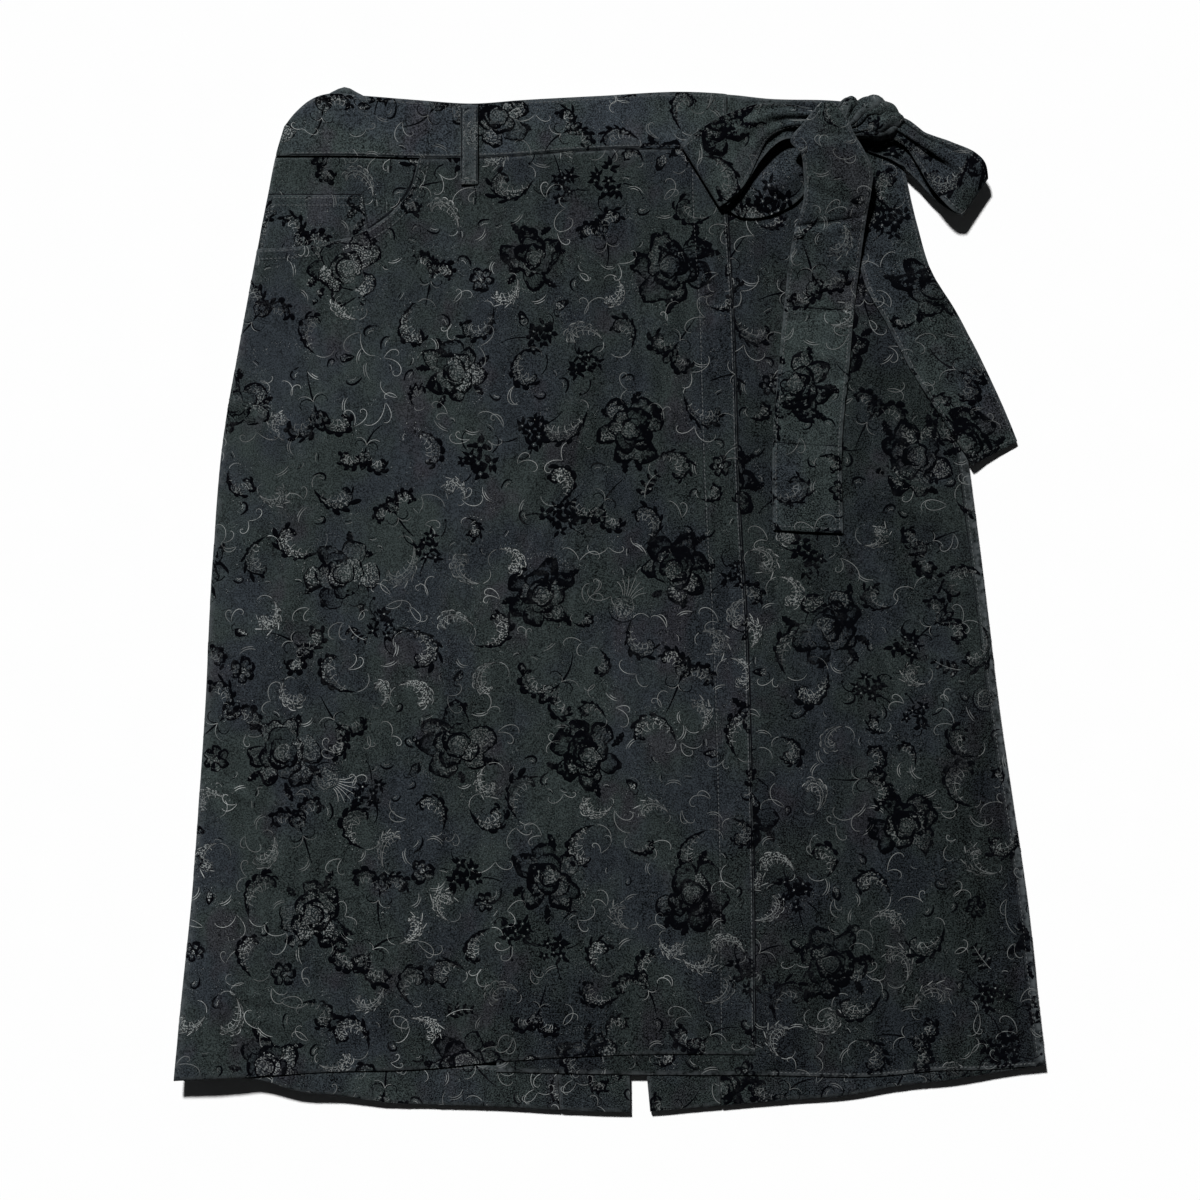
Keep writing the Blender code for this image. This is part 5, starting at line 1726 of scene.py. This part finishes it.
def draw_thistles(drawing, rng, centre, size):
    """Thistles: a globe in a ring of pearls under a fan of hairlines with pearl tips."""
    aim = any_way(rng, centre)
    size = size[:, None]
    globe = centre - polar(0.35 * size, aim)[:, 0]
    draw_lobes(drawing, rng, globe[:, None], aim, 0.50 * size, 0.48 * size, 0.12, 0.1, 0.35, 0.0)
    for out in (0.50, 0.60):
        ring = polar(out * size, aim + math.pi + 2.1 * ramp(21, -1, 1))
        draw_pearls(drawing, globe[:, None] + ring, 0.42)
    ring = polar(0.70 * size, aim + math.pi + 1.6 * ramp(15, -1, 1))
    drawing.add("nap", globe[:, None] + ring, 0.8 * swell(15))
    fan = aim + ramp(7, -0.95, 0.95)
    foot = globe[:, None] + polar(0.5 * size + 0 * fan, aim + 0.5 * (fan - aim))
    bend = (fan - aim)[..., None] * ramp(9, 0.2, 1.2)
    hair = swept(foot, aim[..., None] + bend, size * (1.0 - 0.3 * np.abs(fan - aim)))
    drawing.add("line", hair, 0.26)
    draw_pearls(drawing, hair[:, :, -1], 0.6)
    draw_pearls(drawing, hair[:, :, 3::2] + polar(1.3, fan + QUARTER)[:, :, None], 0.4)


def draw_hooks(drawing, rng, centre, size):
    """Dark hooks with a ball at the tip, pearls along the inside and a grey echo."""
    many = len(centre)
    s = ramp(10)
    aim = any_way(rng, centre)
    hand = rng.choice([-1.0, 1.0], (many, 1))
    heading = aim + hand * (rng.uniform(0.3, 1.6, (many, 1)) * s + rng.uniform(1.0, 3.2, (many, 1)) * s**3)
    line = swept(centre - polar(0.8 * size, aim[:, 0]), heading, 2.0 * size)
    drawing.add("nap", line, 0.13 * size[:, None] * (0.3 + swell(10, 0.7)))
    drawing.add_dots("seed", line[:, -1], 0.17 * size)
    side = hand[..., None] * polar(size[:, None], heading + QUARTER)
    draw_pearls(drawing, (line + 0.26 * side)[:, 2:9], 0.36)
    drawing.add("line", (line + 0.42 * side)[:, 1:9], 0.22 * swell(8, 0.5))


def draw_curls(drawing, rng, centre, size):
    """Hairline curls in twos: each sets out almost straight and winds up at its end."""
    many = len(centre)
    s = ramp(17)
    aim = any_way(rng, centre) + np.array([-0.35, 0.55]) + rng.normal(0, 0.2, (many, 2))
    hand = np.array([[-1.0], [1.0]]) * rng.choice([-1.0, 1.0], (many, 2, 1))
    wind = rng.uniform(0.9, 2.2, (many, 2, 1)) * s + rng.uniform(0.4, 4.2, (many, 2, 1)) * s**4
    foot = centre - polar(0.9 * size, aim.mean(axis=1))
    length = size[:, None] * rng.uniform(1.3, 2.6, (many, 2))
    line = swept(foot[:, None] + np.zeros((many, 2, 2)), aim[..., None] + hand * wind, length)
    drawing.add("line", line, 0.07 + 0.21 * swell(17, 0.6) + 0.16 * bell((s - 1.0) / 0.05))


def draw_arcs(drawing, rng, centre, size):
    """Arcs: two tapered hairlines side by side on a bend."""
    s = ramp(10)
    aim = any_way(rng, centre)
    middle = aim + rng.choice([-1.0, 1.0], aim.shape) * rng.uniform(0.8, 2.2, aim.shape) * (s - 0.5)
    line = swept(centre - polar(0.8 * size, aim[:, 0]), middle, 1.9 * size)
    sideways = joined(-np.sin(middle), np.cos(middle))
    for apart, low, high in ((0.0, 0, 10), (1.6, 2, 9)):
        drawing.add("line", (line + apart * sideways)[:, low:high], 0.29 * swell(high - low, 0.6))


def draw_sprays(drawing, rng, centre, size):
    """Sprays: a bent stem with pairs of small toothed leaves that shrink towards its tip."""
    many = len(centre)
    s = ramp(18)
    heading = any_way(rng, centre) + rng.uniform(-1.5, 1.5, (many, 1)) * s
    stem = swept(centre - polar(size, heading[:, 0]), heading, 2.0 * size)
    drawing.add("line", stem[:, ::2], 0.3 - 0.12 * s[::2])
    picks = np.array([2, 6, 10, 14])
    length = size[:, None] * ramp(4, 0.75, 0.42)
    for side in (-1.0, 1.0):
        aim = (heading[:, picks] + side * 0.85)[..., None] - side * ramp(7, 0.5, -0.5)
        rib = swept(stem[:, picks], aim, length)
        width = length[..., None] * 0.26 * swell(7, 0.8)
        draw_leaves(drawing, rng, rib, side * width, 0.8 * width, 0.45, 0.9, 0.1, 0.3)


def draw_buds(drawing, rng, centre, size):
    """Curled buds: a pointed lobe over a hooked line, with pearls down its back."""
    many = len(centre)
    aim = any_way(rng, centre)
    hand = rng.choice([-1.0, 1.0], (many, 1))
    size = size[:, None]
    draw_lobes(drawing, rng, centre[:, None], aim, 0.85 * size, 0.55 * size, 0.8, 0.1, 0.8, -0.2)
    bend = aim + math.pi + hand * ramp(10, -0.2, 3.0)
    foot = centre - polar(0.7 * size, aim)[:, 0]
    drawing.add("nap", swept(foot, bend, 1.5 * size[:, 0]), 0.6 * swell(10, 0.4))
    back = aim + hand * ramp(8, 0.6, 2.4)
    draw_pearls(drawing, centre[:, None] + polar(0.85 * size, back), 0.4)


def draw_commas(drawing, rng, centre, size):
    """Small dark commas and a grey echo, which fill the ground."""
    many = len(centre)
    s = ramp(6)
    aim = any_way(rng, centre)
    heading = aim + rng.uniform(-2.6, 2.6, (many, 1)) * s**1.5
    line = swept(centre - polar(0.7 * size, aim[:, 0]), heading, 1.5 * size)
    drawing.add("nap", line, 0.16 * size[:, None] * (swell(6, 0.8) * 0.8 + 0.25 * (1.0 - s)))
    drawing.add("line", line + 0.4 * polar(size, aim[:, 0] + QUARTER)[:, None], 0.18)


def draw_specks(drawing, rng, centre, size):
    """Loose stipple in small drifts."""
    many = len(centre)
    spread = rng.normal(0.0, 0.45, (many, 9, 2)) * size[:, None, None]
    draw_pearls(drawing, centre[:, None] + spread, rng.uniform(0.25, 0.45, (many, 9)))


# Figures of the pattern: how to draw one, its radius, how many are tried and how closely they may stand.
FIGURES = (
    (draw_blossoms, 15.0, 80, 0.96),
    (draw_forks, 26.0, 150, 0.78),
    (draw_scrolls, 19.0, 320, 0.74),
    (draw_thistles, 15.0, 60, 0.88),
    (draw_rosettes, 10.0, 60, 0.90),
    (draw_grey_scrolls, 16.0, 500, 0.72),
    (draw_scrolls, 11.0, 200, 0.84),
    (draw_sprays, 11.5, 120, 0.84),
    (draw_hooks, 7.5, 600, 0.82),
    (draw_buds, 6.5, 160, 0.86),
    (draw_curls, 10.5, 1700, 0.66),
    (draw_arcs, 7.5, 1300, 0.68),
    (draw_commas, 4.4, 1800, 0.82),
    (draw_specks, 5.0, 4500, 0.58),
)


def scattered(rng, taken, radius, tries, closeness, box):
    """Places thrown at random that keep their distance from all the places taken so far."""
    (low_x, low_y), (high_x, high_y) = box
    throws = joined(rng.uniform(low_x, high_x, tries), rng.uniform(low_y, high_y, tries))
    kept = []
    for throw in throws:
        apart = np.hypot(taken[:, 0] - throw[0], taken[:, 1] - throw[1])
        if (apart > (taken[:, 2] + radius) * closeness).all():
            kept.append(throw)
            taken = np.vstack([taken, [throw[0], throw[1], radius]])
    return np.array(kept), taken


def pattern(seed, box):
    """The woven pattern over a stretch of its plane: staggered roses, then smaller figures between them."""
    look = chosen("pattern")
    rng = np.random.default_rng(seed)
    radius = look.rose / MM
    step = look.spacing / MM
    (low_x, low_y), (high_x, high_y) = box
    rows = np.arange(low_y - step, high_y + step, step * 0.9)
    spots = [
        (x + (step / 2 if row % 2 else 0.0), y)
        for row, y in enumerate(rows)
        for x in np.arange(low_x - step, high_x + step, step)
    ]
    roses = np.array(spots) + rng.uniform(-0.19, 0.19, (len(spots), 2)) * step
    drawing = Drawing()
    draw_roses(drawing, rng, roses, radius * rng.uniform(0.86, 1.08, len(roses)))
    taken = np.column_stack([roses, np.full(len(roses), radius)])
    for draw, size, tries, closeness in FIGURES:
        places, taken = scattered(rng, taken, size, tries, closeness, box)
        if len(places):
            draw(drawing, rng, places, size * rng.uniform(0.85, 1.15, len(places)))
    return drawing


# The stretch of its plane that the pattern fills: lowest x and y, highest x and y.
PATTERN_BOX = ((-400.0, -440.0), (400.0, 440.0))
# Where each cloth lies in the woven pattern: turn, shift in x and y, and the faces that show it.
CUTS = (
    ("wrap_panel", 0.0, (0, 0), (1,)),
    ("under_panel", 0.0, (37, 61), (1,)),
    ("wrap_waistband", 0.0, (22, -48), (1,)),
    ("under_waistband", 0.0, (-31, -70), (1,)),
    ("pocket_backing", 0.0, (-64, 24), (1,)),
    ("coin_pocket", 0.0, (30, 52), (1,)),
    ("belt_loop", 0.0, (11, 323), (1,)),
    ("back_left_hem", math.pi, (12, -35), (1,)),
    ("back_right_hem", math.pi, (-26, 44), (1,)),
    ("vent_left_facing", math.pi, (41, -28), (1,)),
    ("vent_right_facing", math.pi, (-9, 15), (1,)),
    ("tie_lead", QUARTER, (15, 66), (1,)),
    ("front_tail", 0.0, (-58, 192), (1,)),
    ("side_tail", math.pi, (-34, 118), (1,)),
    ("bow_left_loop", QUARTER, (48, 90), (1, -1)),
    ("bow_right_loop", -QUARTER, (-52, 132), (1, -1)),
    ("bow_knot", 0.5, (118, 40), (1,)),
)


def weave_flowers():
    """The woven flowers on every cloth that shows, as black pile, grey lines and figured cloth."""
    need_cloth("weaving the flowers on it")
    look = chosen("pattern")
    drawing = pattern(look.seed, PATTERN_BOX)
    materials = {
        "flowers": shared("black_pile", pile_material),
        "tracery": shared("grey_line", line_material),
    }
    for name, angle, shift, sides in CUTS:
        materials["figures"], _ = cloth_finish(name, True)
        laid = drawing.moved(angle, shift)
        for side in sides:
            for layer, kinds in LAYERS.items():
                end = "" if side > 0 else "_inside"
                woven(CLOTHS[name], f"{name}_{layer}{end}", laid, kinds, materials[layer], side)


def need_cloth(work):
    """Stops a step that needs the cloth when none is laid."""
    if "wrap_panel" not in CLOTHS:
        raise RuntimeError(f"lay the cloth before {work}")


def stitches(line, look):
    """Short lines for the stitches along a path given as points: one for each stitch length."""
    way = distances(line)
    pitch = look.length / MM + look.gap / MM
    starts = np.arange(pitch / 2, way[-1] - pitch, pitch)[:, None]
    at = starts + ramp(4, 0.0, look.length / MM)[None, :]
    return np.stack([np.interp(at, way, line[:, k]) for k in range(2)], axis=-1)


def sew(cloth, paths, shade_lines=()):
    """Rows of stitches on a cloth, joined in one mesh, and in another the dark lines of painted shade along
    its seams and edges.

    A shade line is a path and half its width.
    """
    look = chosen("sewing")
    seams = Drawing()
    for path in paths:
        made = stitches(np.array(path), look)
        if len(made):
            seams.add("line", made, look.thick / MM / 2 * np.array([0.5, 1.0, 1.0, 0.5]))
    thread = shared("charcoal_sewing", sewing_material)
    woven(cloth, f"{cloth.name}_sewing", seams, ("line",), thread, gain=1.6)
    # Painted shade: dark ribbons where seams and edges lie in shade.
    lines = Drawing()
    for path, half in shade_lines:
        t = ramp(120)[:, None]
        points = np.array(path)
        points = points if len(points) > 2 else points[0] * (1.0 - t) + points[1] * t
        uneven = 1.0 + 0.4 * lattice_noise(points[:, 0] + 600.0, points[:, 1] + 600.0, 7.0, 81)
        lines.add("nap", points, half * uneven)
    woven(cloth, f"{cloth.name}_seams", lines, ("nap",), shared("seam_gap", seam_shade_material), gain=0.8)


def along(line, low, high, inset=0.0, count=120):
    """Points of a line across the body between two values of x, moved down by an inset."""
    x = ramp(count, low, high)
    return joined(x, line(x) - inset)


def beside(edge, high, low, inset, count=160):
    """Points of a line down the body between two values of y, moved sideways by an inset."""
    y = ramp(count, high, low)
    return joined(edge(y) + inset, y)


def offset(rows, distance):
    """A smooth line through the rows of a table, moved sideways from its own direction."""
    points = resampled(rows, 120)
    return points + leftwards(points) * distance


# Where the wrap's edge and the underlap's side are sewn from and to, down the body.
WRAP_SEWN = (330.0, -336.0)
SIDE_SEWN = (318.0, -340.0)
# How far stitches run from an edge, from a seam or hem and, on the wrap, behind its free edge.
EDGE_STITCH = 1.8
SEAM_STITCH = 2.0
FACING = 25.0
# How far the second row round the pocket mouth runs from it, and the painted shade line at the ridge of its
# facing.
MOUTH_ROW, MOUTH_RIDGE = 7.4, 8.6
# x of the wrap's last stitch, of its band's left end and of the painted shade line at the seam beside the
# wrap on the underlap's band.
WRAP_RIGHT, BAND_LEFT, BAND_SIDE = 84.0, -244.0, 86.4
COIN_LEFT = -258.0
# The little tack beside the coin pocket: x, top and bottom of its stitches and of the painted shade line of
# its seam.
TACK, TACK_SEAM = (-168.4, 299.8, 286.5), (-169.6, 300.5, 286.0)
# How far from the belt loop's middle the painted shade lines along its edges run.
LOOP_EDGE = 5.7
# Seams across the front tail, drawn as painted shade lines: distances from the knot at both edges, and half
# their width.
JOINS = {"front_tail": ((93.0, 88.0, 0.45), (154.5, 157.5, 0.75), (257.0, 259.5, 0.4))}
TIE_REACH = 26.0


def upright(x, start, end):
    """A path straight up or down at x."""
    return [(x, start), (x, end)]


def sew_front():
    """The wrap's free edge, facing and pocket mouth, the waistband, and the underlap's side and hem, with
    painted shade lines along seams and edges.
    """
    mouth = [offset(POCKET_MOUTH, distance) for distance in (EDGE_STITCH, MOUTH_ROW)]
    edge = [beside(wrap_edge, *WRAP_SEWN, -inset) for inset in (EDGE_STITCH, FACING)]
    sew(CLOTHS["wrap_panel"], edge + mouth, [
        (along(waist_seam, MOUTH_END, WRAP_RIGHT, 1.0), 0.60),
        (beside(wrap_edge, *WRAP_SEWN, -FACING - 0.9), 0.30),
        (beside(wrap_edge, WRAP_SEWN[0], WRAP_SEWN[1] - 1.0, -0.8), 0.75),
        (offset(POCKET_MOUTH, MOUTH_RIDGE), 0.30),
    ])
    sew(CLOTHS["wrap_waistband"], [
        along(waist_seam, BAND_LEFT, WRAP_RIGHT, -SEAM_STITCH),
        along(line_of(FRONT_TOP), -232.0, WRAP_RIGHT, 2.2),
        upright(83.6, 338.0, 376.0),
    ], [(along(waist_seam, BAND_LEFT, WRAP_RIGHT, -0.7), 0.80)])
    sew(CLOTHS["under_waistband"], [along(waist_seam, 88.0, 210.0, -SEAM_STITCH)], [
        (along(waist_seam, 86.5, 211.0, -0.7), 0.80),
        (upright(BAND_SIDE, 337.0, 376.0), 0.60),
    ])
    sew(CLOTHS["under_panel"], [
        beside(right_side, *SIDE_SEWN, -5.2),
        along(line_of(UNDER_HEM), 118.0, 318.0, -SEAM_STITCH),
    ], [
        (beside(wrap_edge, *WRAP_SEWN, 0.9), 0.90),
        (beside(right_side, *SIDE_SEWN, -7.4), 0.45),
    ])


def sew_pocket():
    """The tack on the pocket's backing, painted shade along the pocket mouth, round the coin pocket and at
    the tack, and the coin pocket's stitches.
    """
    corner = (COIN_RIGHT[0] + 0.7, COIN_TOP_Y + 0.7)
    sew(CLOTHS["pocket_backing"], [upright(*TACK)], [
        (offset(POCKET_MOUTH, -1.3), 1.40),
        ([(-262.0, corner[1]), corner], 0.80),
        ([corner, (COIN_RIGHT[1] + 0.7, COIN_BOTTOM_Y)], 0.40),
        (upright(*TACK_SEAM), 0.35),
    ])
    first, second = COIN_TOP_Y - SEAM_STITCH, COIN_TOP_Y - 7.5
    sew(CLOTHS["coin_pocket"], [
        [(COIN_LEFT, first), (COIN_RIGHT[0] - 1.5, first)],
        [(COIN_LEFT, second), (COIN_RIGHT[0] - 1.0, second)],
        [(COIN_RIGHT[0] - EDGE_STITCH, first), (COIN_RIGHT[1] - EDGE_STITCH, COIN_BOTTOM_Y + 2.0)],
    ])


def sew_belt_loop():
    """The belt loop's two rows, the tacks at its foot and painted shade along its edges and across its foot.
    """
    x, y = LOOP_CENTRE
    across, down = LOOP_SIZE[0] / 2 - SEAM_STITCH, LOOP_SIZE[1] / 2 - 1.6
    tacks = [[(x - across, y - down + k), (x + across, y - down + k)] for k in (0.0, 0.9)]
    rails = [upright(x + side * across, y + down, y - down) for side in (-1, 1)]
    edges = [(upright(x + side * LOOP_EDGE, y + down, y - down), 0.75) for side in (-1, 1)]
    sew(CLOTHS["belt_loop"], rails + tacks, edges + [([(x - 6.0, y - 28.9), (x + 6.0, y - 28.9)], 0.5)])


def sew_tie(name):
    """Rows along both edges of a strip of the tie, across the end of a tail, and painted shade along the
    seams that join it.
    """
    cloth = CLOTHS[name]
    edge = cloth.width / 2 - 2.2
    start, end = cloth.way[0], cloth.way[-1]
    paths = [[(side * edge, start), (side * edge, end)] for side in (-1, 1)]
    if name.endswith("tail"):
        paths.append([(-edge, end - 3.0), (edge, end - 3.0)])
    joins = JOINS.get(name, ())
    sew(cloth, paths, [([(-TIE_REACH, one), (TIE_REACH, other)], half) for one, other, half in joins])


def sew_seams():
    """All the sewing that shows: band edges, pockets, belt loop, wrap edge, hems and the tie's edges."""
    need_cloth("sewing it")
    sew_front()
    sew_pocket()
    sew_belt_loop()
    for name in ("back_left_hem", "back_right_hem"):
        edge = CLOTHS[name].points[-1, :, 0]
        path = along(line_of(BACK_HEM), edge.min() + 2, edge.max() - 2, SEAM_STITCH - HEM_TURNING)
        sew(CLOTHS[name], [path])
    for name in ("tie_lead", "front_tail", "side_tail", "bow_left_loop", "bow_right_loop"):
        sew_tie(name)


FLOOR_DROP = 0.3
LENS, SENSOR = 96.0, 36.0
AIR_COLOUR = (0.97, 0.985, 1.0, 1.0)


def linked(name, data):
    """A new object in the scene that holds a lamp or a camera."""
    made = bpy.data.objects.new(name, data)
    bpy.context.scene.collection.objects.link(made)
    return made


def set_stage():
    """A pale floor, a soft lamp high on the left, light from all round, and a camera that looks down."""
    look = chosen("stage")
    board = Board("pale_floor")
    grain = board.noise(40.0, 2.0)
    paint = board.mix(grain, rgb(look.floor, 0.99), rgb(look.floor))
    board.finish(paint, 0.9, {"Specular IOR Level": 0.1})
    half = look.size / 2 / MM
    square = ((-half, half), (-half, -half), (half, -half), (half, half))
    corners = np.array([(x, y, -FLOOR_DROP) for x, y in square])
    new_mesh("pale_floor", corners, [[0, 1, 2, 3]], board.material)
    lamp = bpy.data.lights.new("studio_lamp", "SUN")
    lamp.energy = look.lamp
    lamp.angle = look.softness
    tilt = (math.radians(-look.tilt_down), math.radians(-look.tilt_side), 0.0)
    linked("studio_lamp", lamp).rotation_euler = tilt
    world = bpy.data.worlds.new("studio_air")
    world.use_nodes = True
    light = world.node_tree.nodes["Background"].inputs
    light["Color"].default_value = AIR_COLOUR
    light["Strength"].default_value = look.air
    bpy.context.scene.world = world
    camera = bpy.data.cameras.new("overhead")
    camera.lens = LENS
    camera.sensor_width = SENSOR
    eye = linked("overhead", camera)
    eye.location = (look.aim_x, look.aim_y, look.height)
    bpy.context.scene.camera = eye
    bpy.context.scene.view_settings.view_transform = "Standard"


def colour_of(name, description, default):
    """A colour that a user may change."""
    return FloatVectorProperty(
        name=name, description=description, default=default, size=3, min=0.0, max=1.0, subtype="COLOR"
    )


def length_of(name, description, default):
    """A length that a user may change."""
    return FloatProperty(name=name, description=description, default=default, min=0.0, unit="LENGTH")


class SkirtCloth(PropertyGroup):
    """Walls and colours of the cloth."""

    wall: length_of("Cloth wall", "Thickness of one layer of cloth", 0.001)
    band: length_of("Waistband", "Thickness of the doubled waistband", 0.0022)
    tie: length_of("Tie", "Thickness of the doubled tie", 0.0015)
    crumple: length_of("Crumple", "Height of the washed-in unevenness", 0.00075)
    ground: colour_of("Ground", "Green-grey of the washed ground", (0.0190, 0.0248, 0.0245))
    wash: colour_of("Wash", "Bluish patches of the wash", (0.0162, 0.0200, 0.0246))
    plum: colour_of("Plum", "Warmer patches of the wash", (0.0195, 0.0190, 0.0230))
    # The pale of wear on edges, also used as painted highlight on the knot's fold ridges.
    rubbed: colour_of("Rubbed", "Cloth worn pale on edges", (0.060, 0.068, 0.072))
    sheen: FloatProperty(name="Sheen", description="Soft light off the nap", default=0.03, min=0.0, max=1.0)


class SkirtPattern(PropertyGroup):
    """Size, spacing and colours of the woven flowers."""

    rose: length_of("Rose", "Radius of a rose", 0.028)
    spacing: length_of("Spacing", "Distance between roses", 0.134)
    seed: IntProperty(name="Seed", description="Picks the scatter of the figures", default=11)
    pile: colour_of("Pile", "Black of the velvety parts", (0.0010, 0.0012, 0.0020))
    bare: colour_of("Bare", "Pile that is rubbed grey", (0.011, 0.012, 0.013))
    line: colour_of("Line", "Grey of the drawn lines", (0.320, 0.336, 0.332))
    stipple: colour_of("Stipple", "Grey of the stipple", (0.245, 0.260, 0.255))


class SkirtSewing(PropertyGroup):
    """The sewing thread and its stitches."""

    length: length_of("Stitch", "Length of one stitch", 0.0024)
    gap: length_of("Gap", "Distance between stitches", 0.0008)
    thick: length_of("Thread", "Thickness of the thread", 0.0007)
    colour: colour_of("Thread colour", "Charcoal of the thread", (0.085, 0.092, 0.095))
    # Painted shade along seams and edges.
    gap_colour: colour_of("Seam gap", "Dark between the edges at a seam", (0.0035, 0.0040, 0.0050))


class SkirtStage(PropertyGroup):
    """Floor, lamp and camera."""

    size: length_of("Floor", "Side of the floor", 12.0)
    floor: colour_of("Floor colour", "Pale floor", (0.93, 0.93, 0.93))
    lamp: FloatProperty(name="Lamp", description="Strength of the lamp", default=4.70, min=0.0)
    softness: FloatProperty(name="Softness", description="Width of the lamp", default=0.10, subtype="ANGLE")
    tilt_down: FloatProperty(name="From the top", description="Degrees that the lamp leans", default=42.0)
    tilt_side: FloatProperty(name="From the left", description="Degrees that the lamp leans", default=18.0)
    air: FloatProperty(name="Air", description="Light from all round", default=0.013, min=0.0)
    height: length_of("Camera height", "Height of the camera over the floor", 2.4)
    aim_x: FloatProperty(name="Aim x", description="Middle of the view", default=-0.0083, unit="LENGTH")
    aim_y: FloatProperty(name="Aim y", description="Middle of the view", default=-0.0002, unit="LENGTH")


class SKIRT_OT_lay_back(Operator):
    """Lays both halves of the back, their hems and the vent's facings"""

    bl_idname = "skirt.lay_back"
    bl_label = "Lay the back"

    def execute(self, context):
        lay_back()
        return {"FINISHED"}


class SKIRT_OT_lay_front(Operator):
    """Lays the underlap and the wrap over it"""

    bl_idname = "skirt.lay_front"
    bl_label = "Lay the front"

    def execute(self, context):
        lay_front()
        return {"FINISHED"}


class SKIRT_OT_lay_bands(Operator):
    """Lays the three stretches of the waistband and the belt loop"""

    bl_idname = "skirt.lay_bands"
    bl_label = "Lay the waistband"

    def execute(self, context):
        lay_bands()
        lay_belt_loop()
        return {"FINISHED"}


class SKIRT_OT_lay_pocket(Operator):
    """Lays the pocket's backing and the coin pocket"""

    bl_idname = "skirt.lay_pocket"
    bl_label = "Lay the pocket"

    def execute(self, context):
        lay_pocket()
        return {"FINISHED"}


class SKIRT_OT_tie_bow(Operator):
    """Lays the tie and its ends and ties the bow"""

    bl_idname = "skirt.tie_bow"
    bl_label = "Tie the bow"

    def execute(self, context):
        lay_tie()
        tie_bow()
        return {"FINISHED"}


class SKIRT_OT_weave_flowers(Operator):
    """Weaves the flowers on every cloth that shows"""

    bl_idname = "skirt.weave_flowers"
    bl_label = "Weave the flowers"

    def execute(self, context):
        weave_flowers()
        return {"FINISHED"}


class SKIRT_OT_sew(Operator):
    """Sews the seams, hems, pockets and edges"""

    bl_idname = "skirt.sew"
    bl_label = "Sew"

    def execute(self, context):
        sew_seams()
        return {"FINISHED"}


class SKIRT_OT_set_stage(Operator):
    """Sets the floor, the lamp and the camera"""

    bl_idname = "skirt.set_stage"
    bl_label = "Set the stage"

    def execute(self, context):
        set_stage()
        return {"FINISHED"}


OPERATORS = (
    SKIRT_OT_lay_back,
    SKIRT_OT_lay_front,
    SKIRT_OT_lay_bands,
    SKIRT_OT_lay_pocket,
    SKIRT_OT_tie_bow,
    SKIRT_OT_weave_flowers,
    SKIRT_OT_sew,
    SKIRT_OT_set_stage,
)
GROUPS = {
    "skirt_cloth": SkirtCloth,
    "skirt_pattern": SkirtPattern,
    "skirt_sewing": SkirtSewing,
    "skirt_stage": SkirtStage,
}


class SKIRT_PT_sidebar(Panel):
    """The skirt's sizes, colours and steps"""

    bl_idname = "SKIRT_PT_sidebar"
    bl_label = "Laid wrap skirt"
    bl_space_type = "VIEW_3D"
    bl_region_type = "UI"
    bl_category = "Skirt"

    def draw(self, context):
        for name, group in GROUPS.items():
            column = self.layout.column(align=True)
            for key in group.__annotations__:
                column.prop(getattr(context.scene, name), key)
        for operator in OPERATORS:
            self.layout.operator(operator.bl_idname)


def register():
    """Registers the groups, the operators and the panel."""
    for name, group in GROUPS.items():
        bpy.utils.register_class(group)
        setattr(bpy.types.Scene, name, PointerProperty(type=group))
    for kind in (*OPERATORS, SKIRT_PT_sidebar):
        bpy.utils.register_class(kind)


def unregister():
    """Takes back what register() did."""
    for kind in (SKIRT_PT_sidebar, *OPERATORS):
        bpy.utils.unregister_class(kind)
    for name, group in GROUPS.items():
        delattr(bpy.types.Scene, name)
        bpy.utils.unregister_class(group)


def main():
    """Registers the classes and runs every step in order."""
    register()
    for operator in OPERATORS:
        group, step = operator.bl_idname.split(".")
        getattr(getattr(bpy.ops, group), step)()


if __name__ == "__main__":
    main()
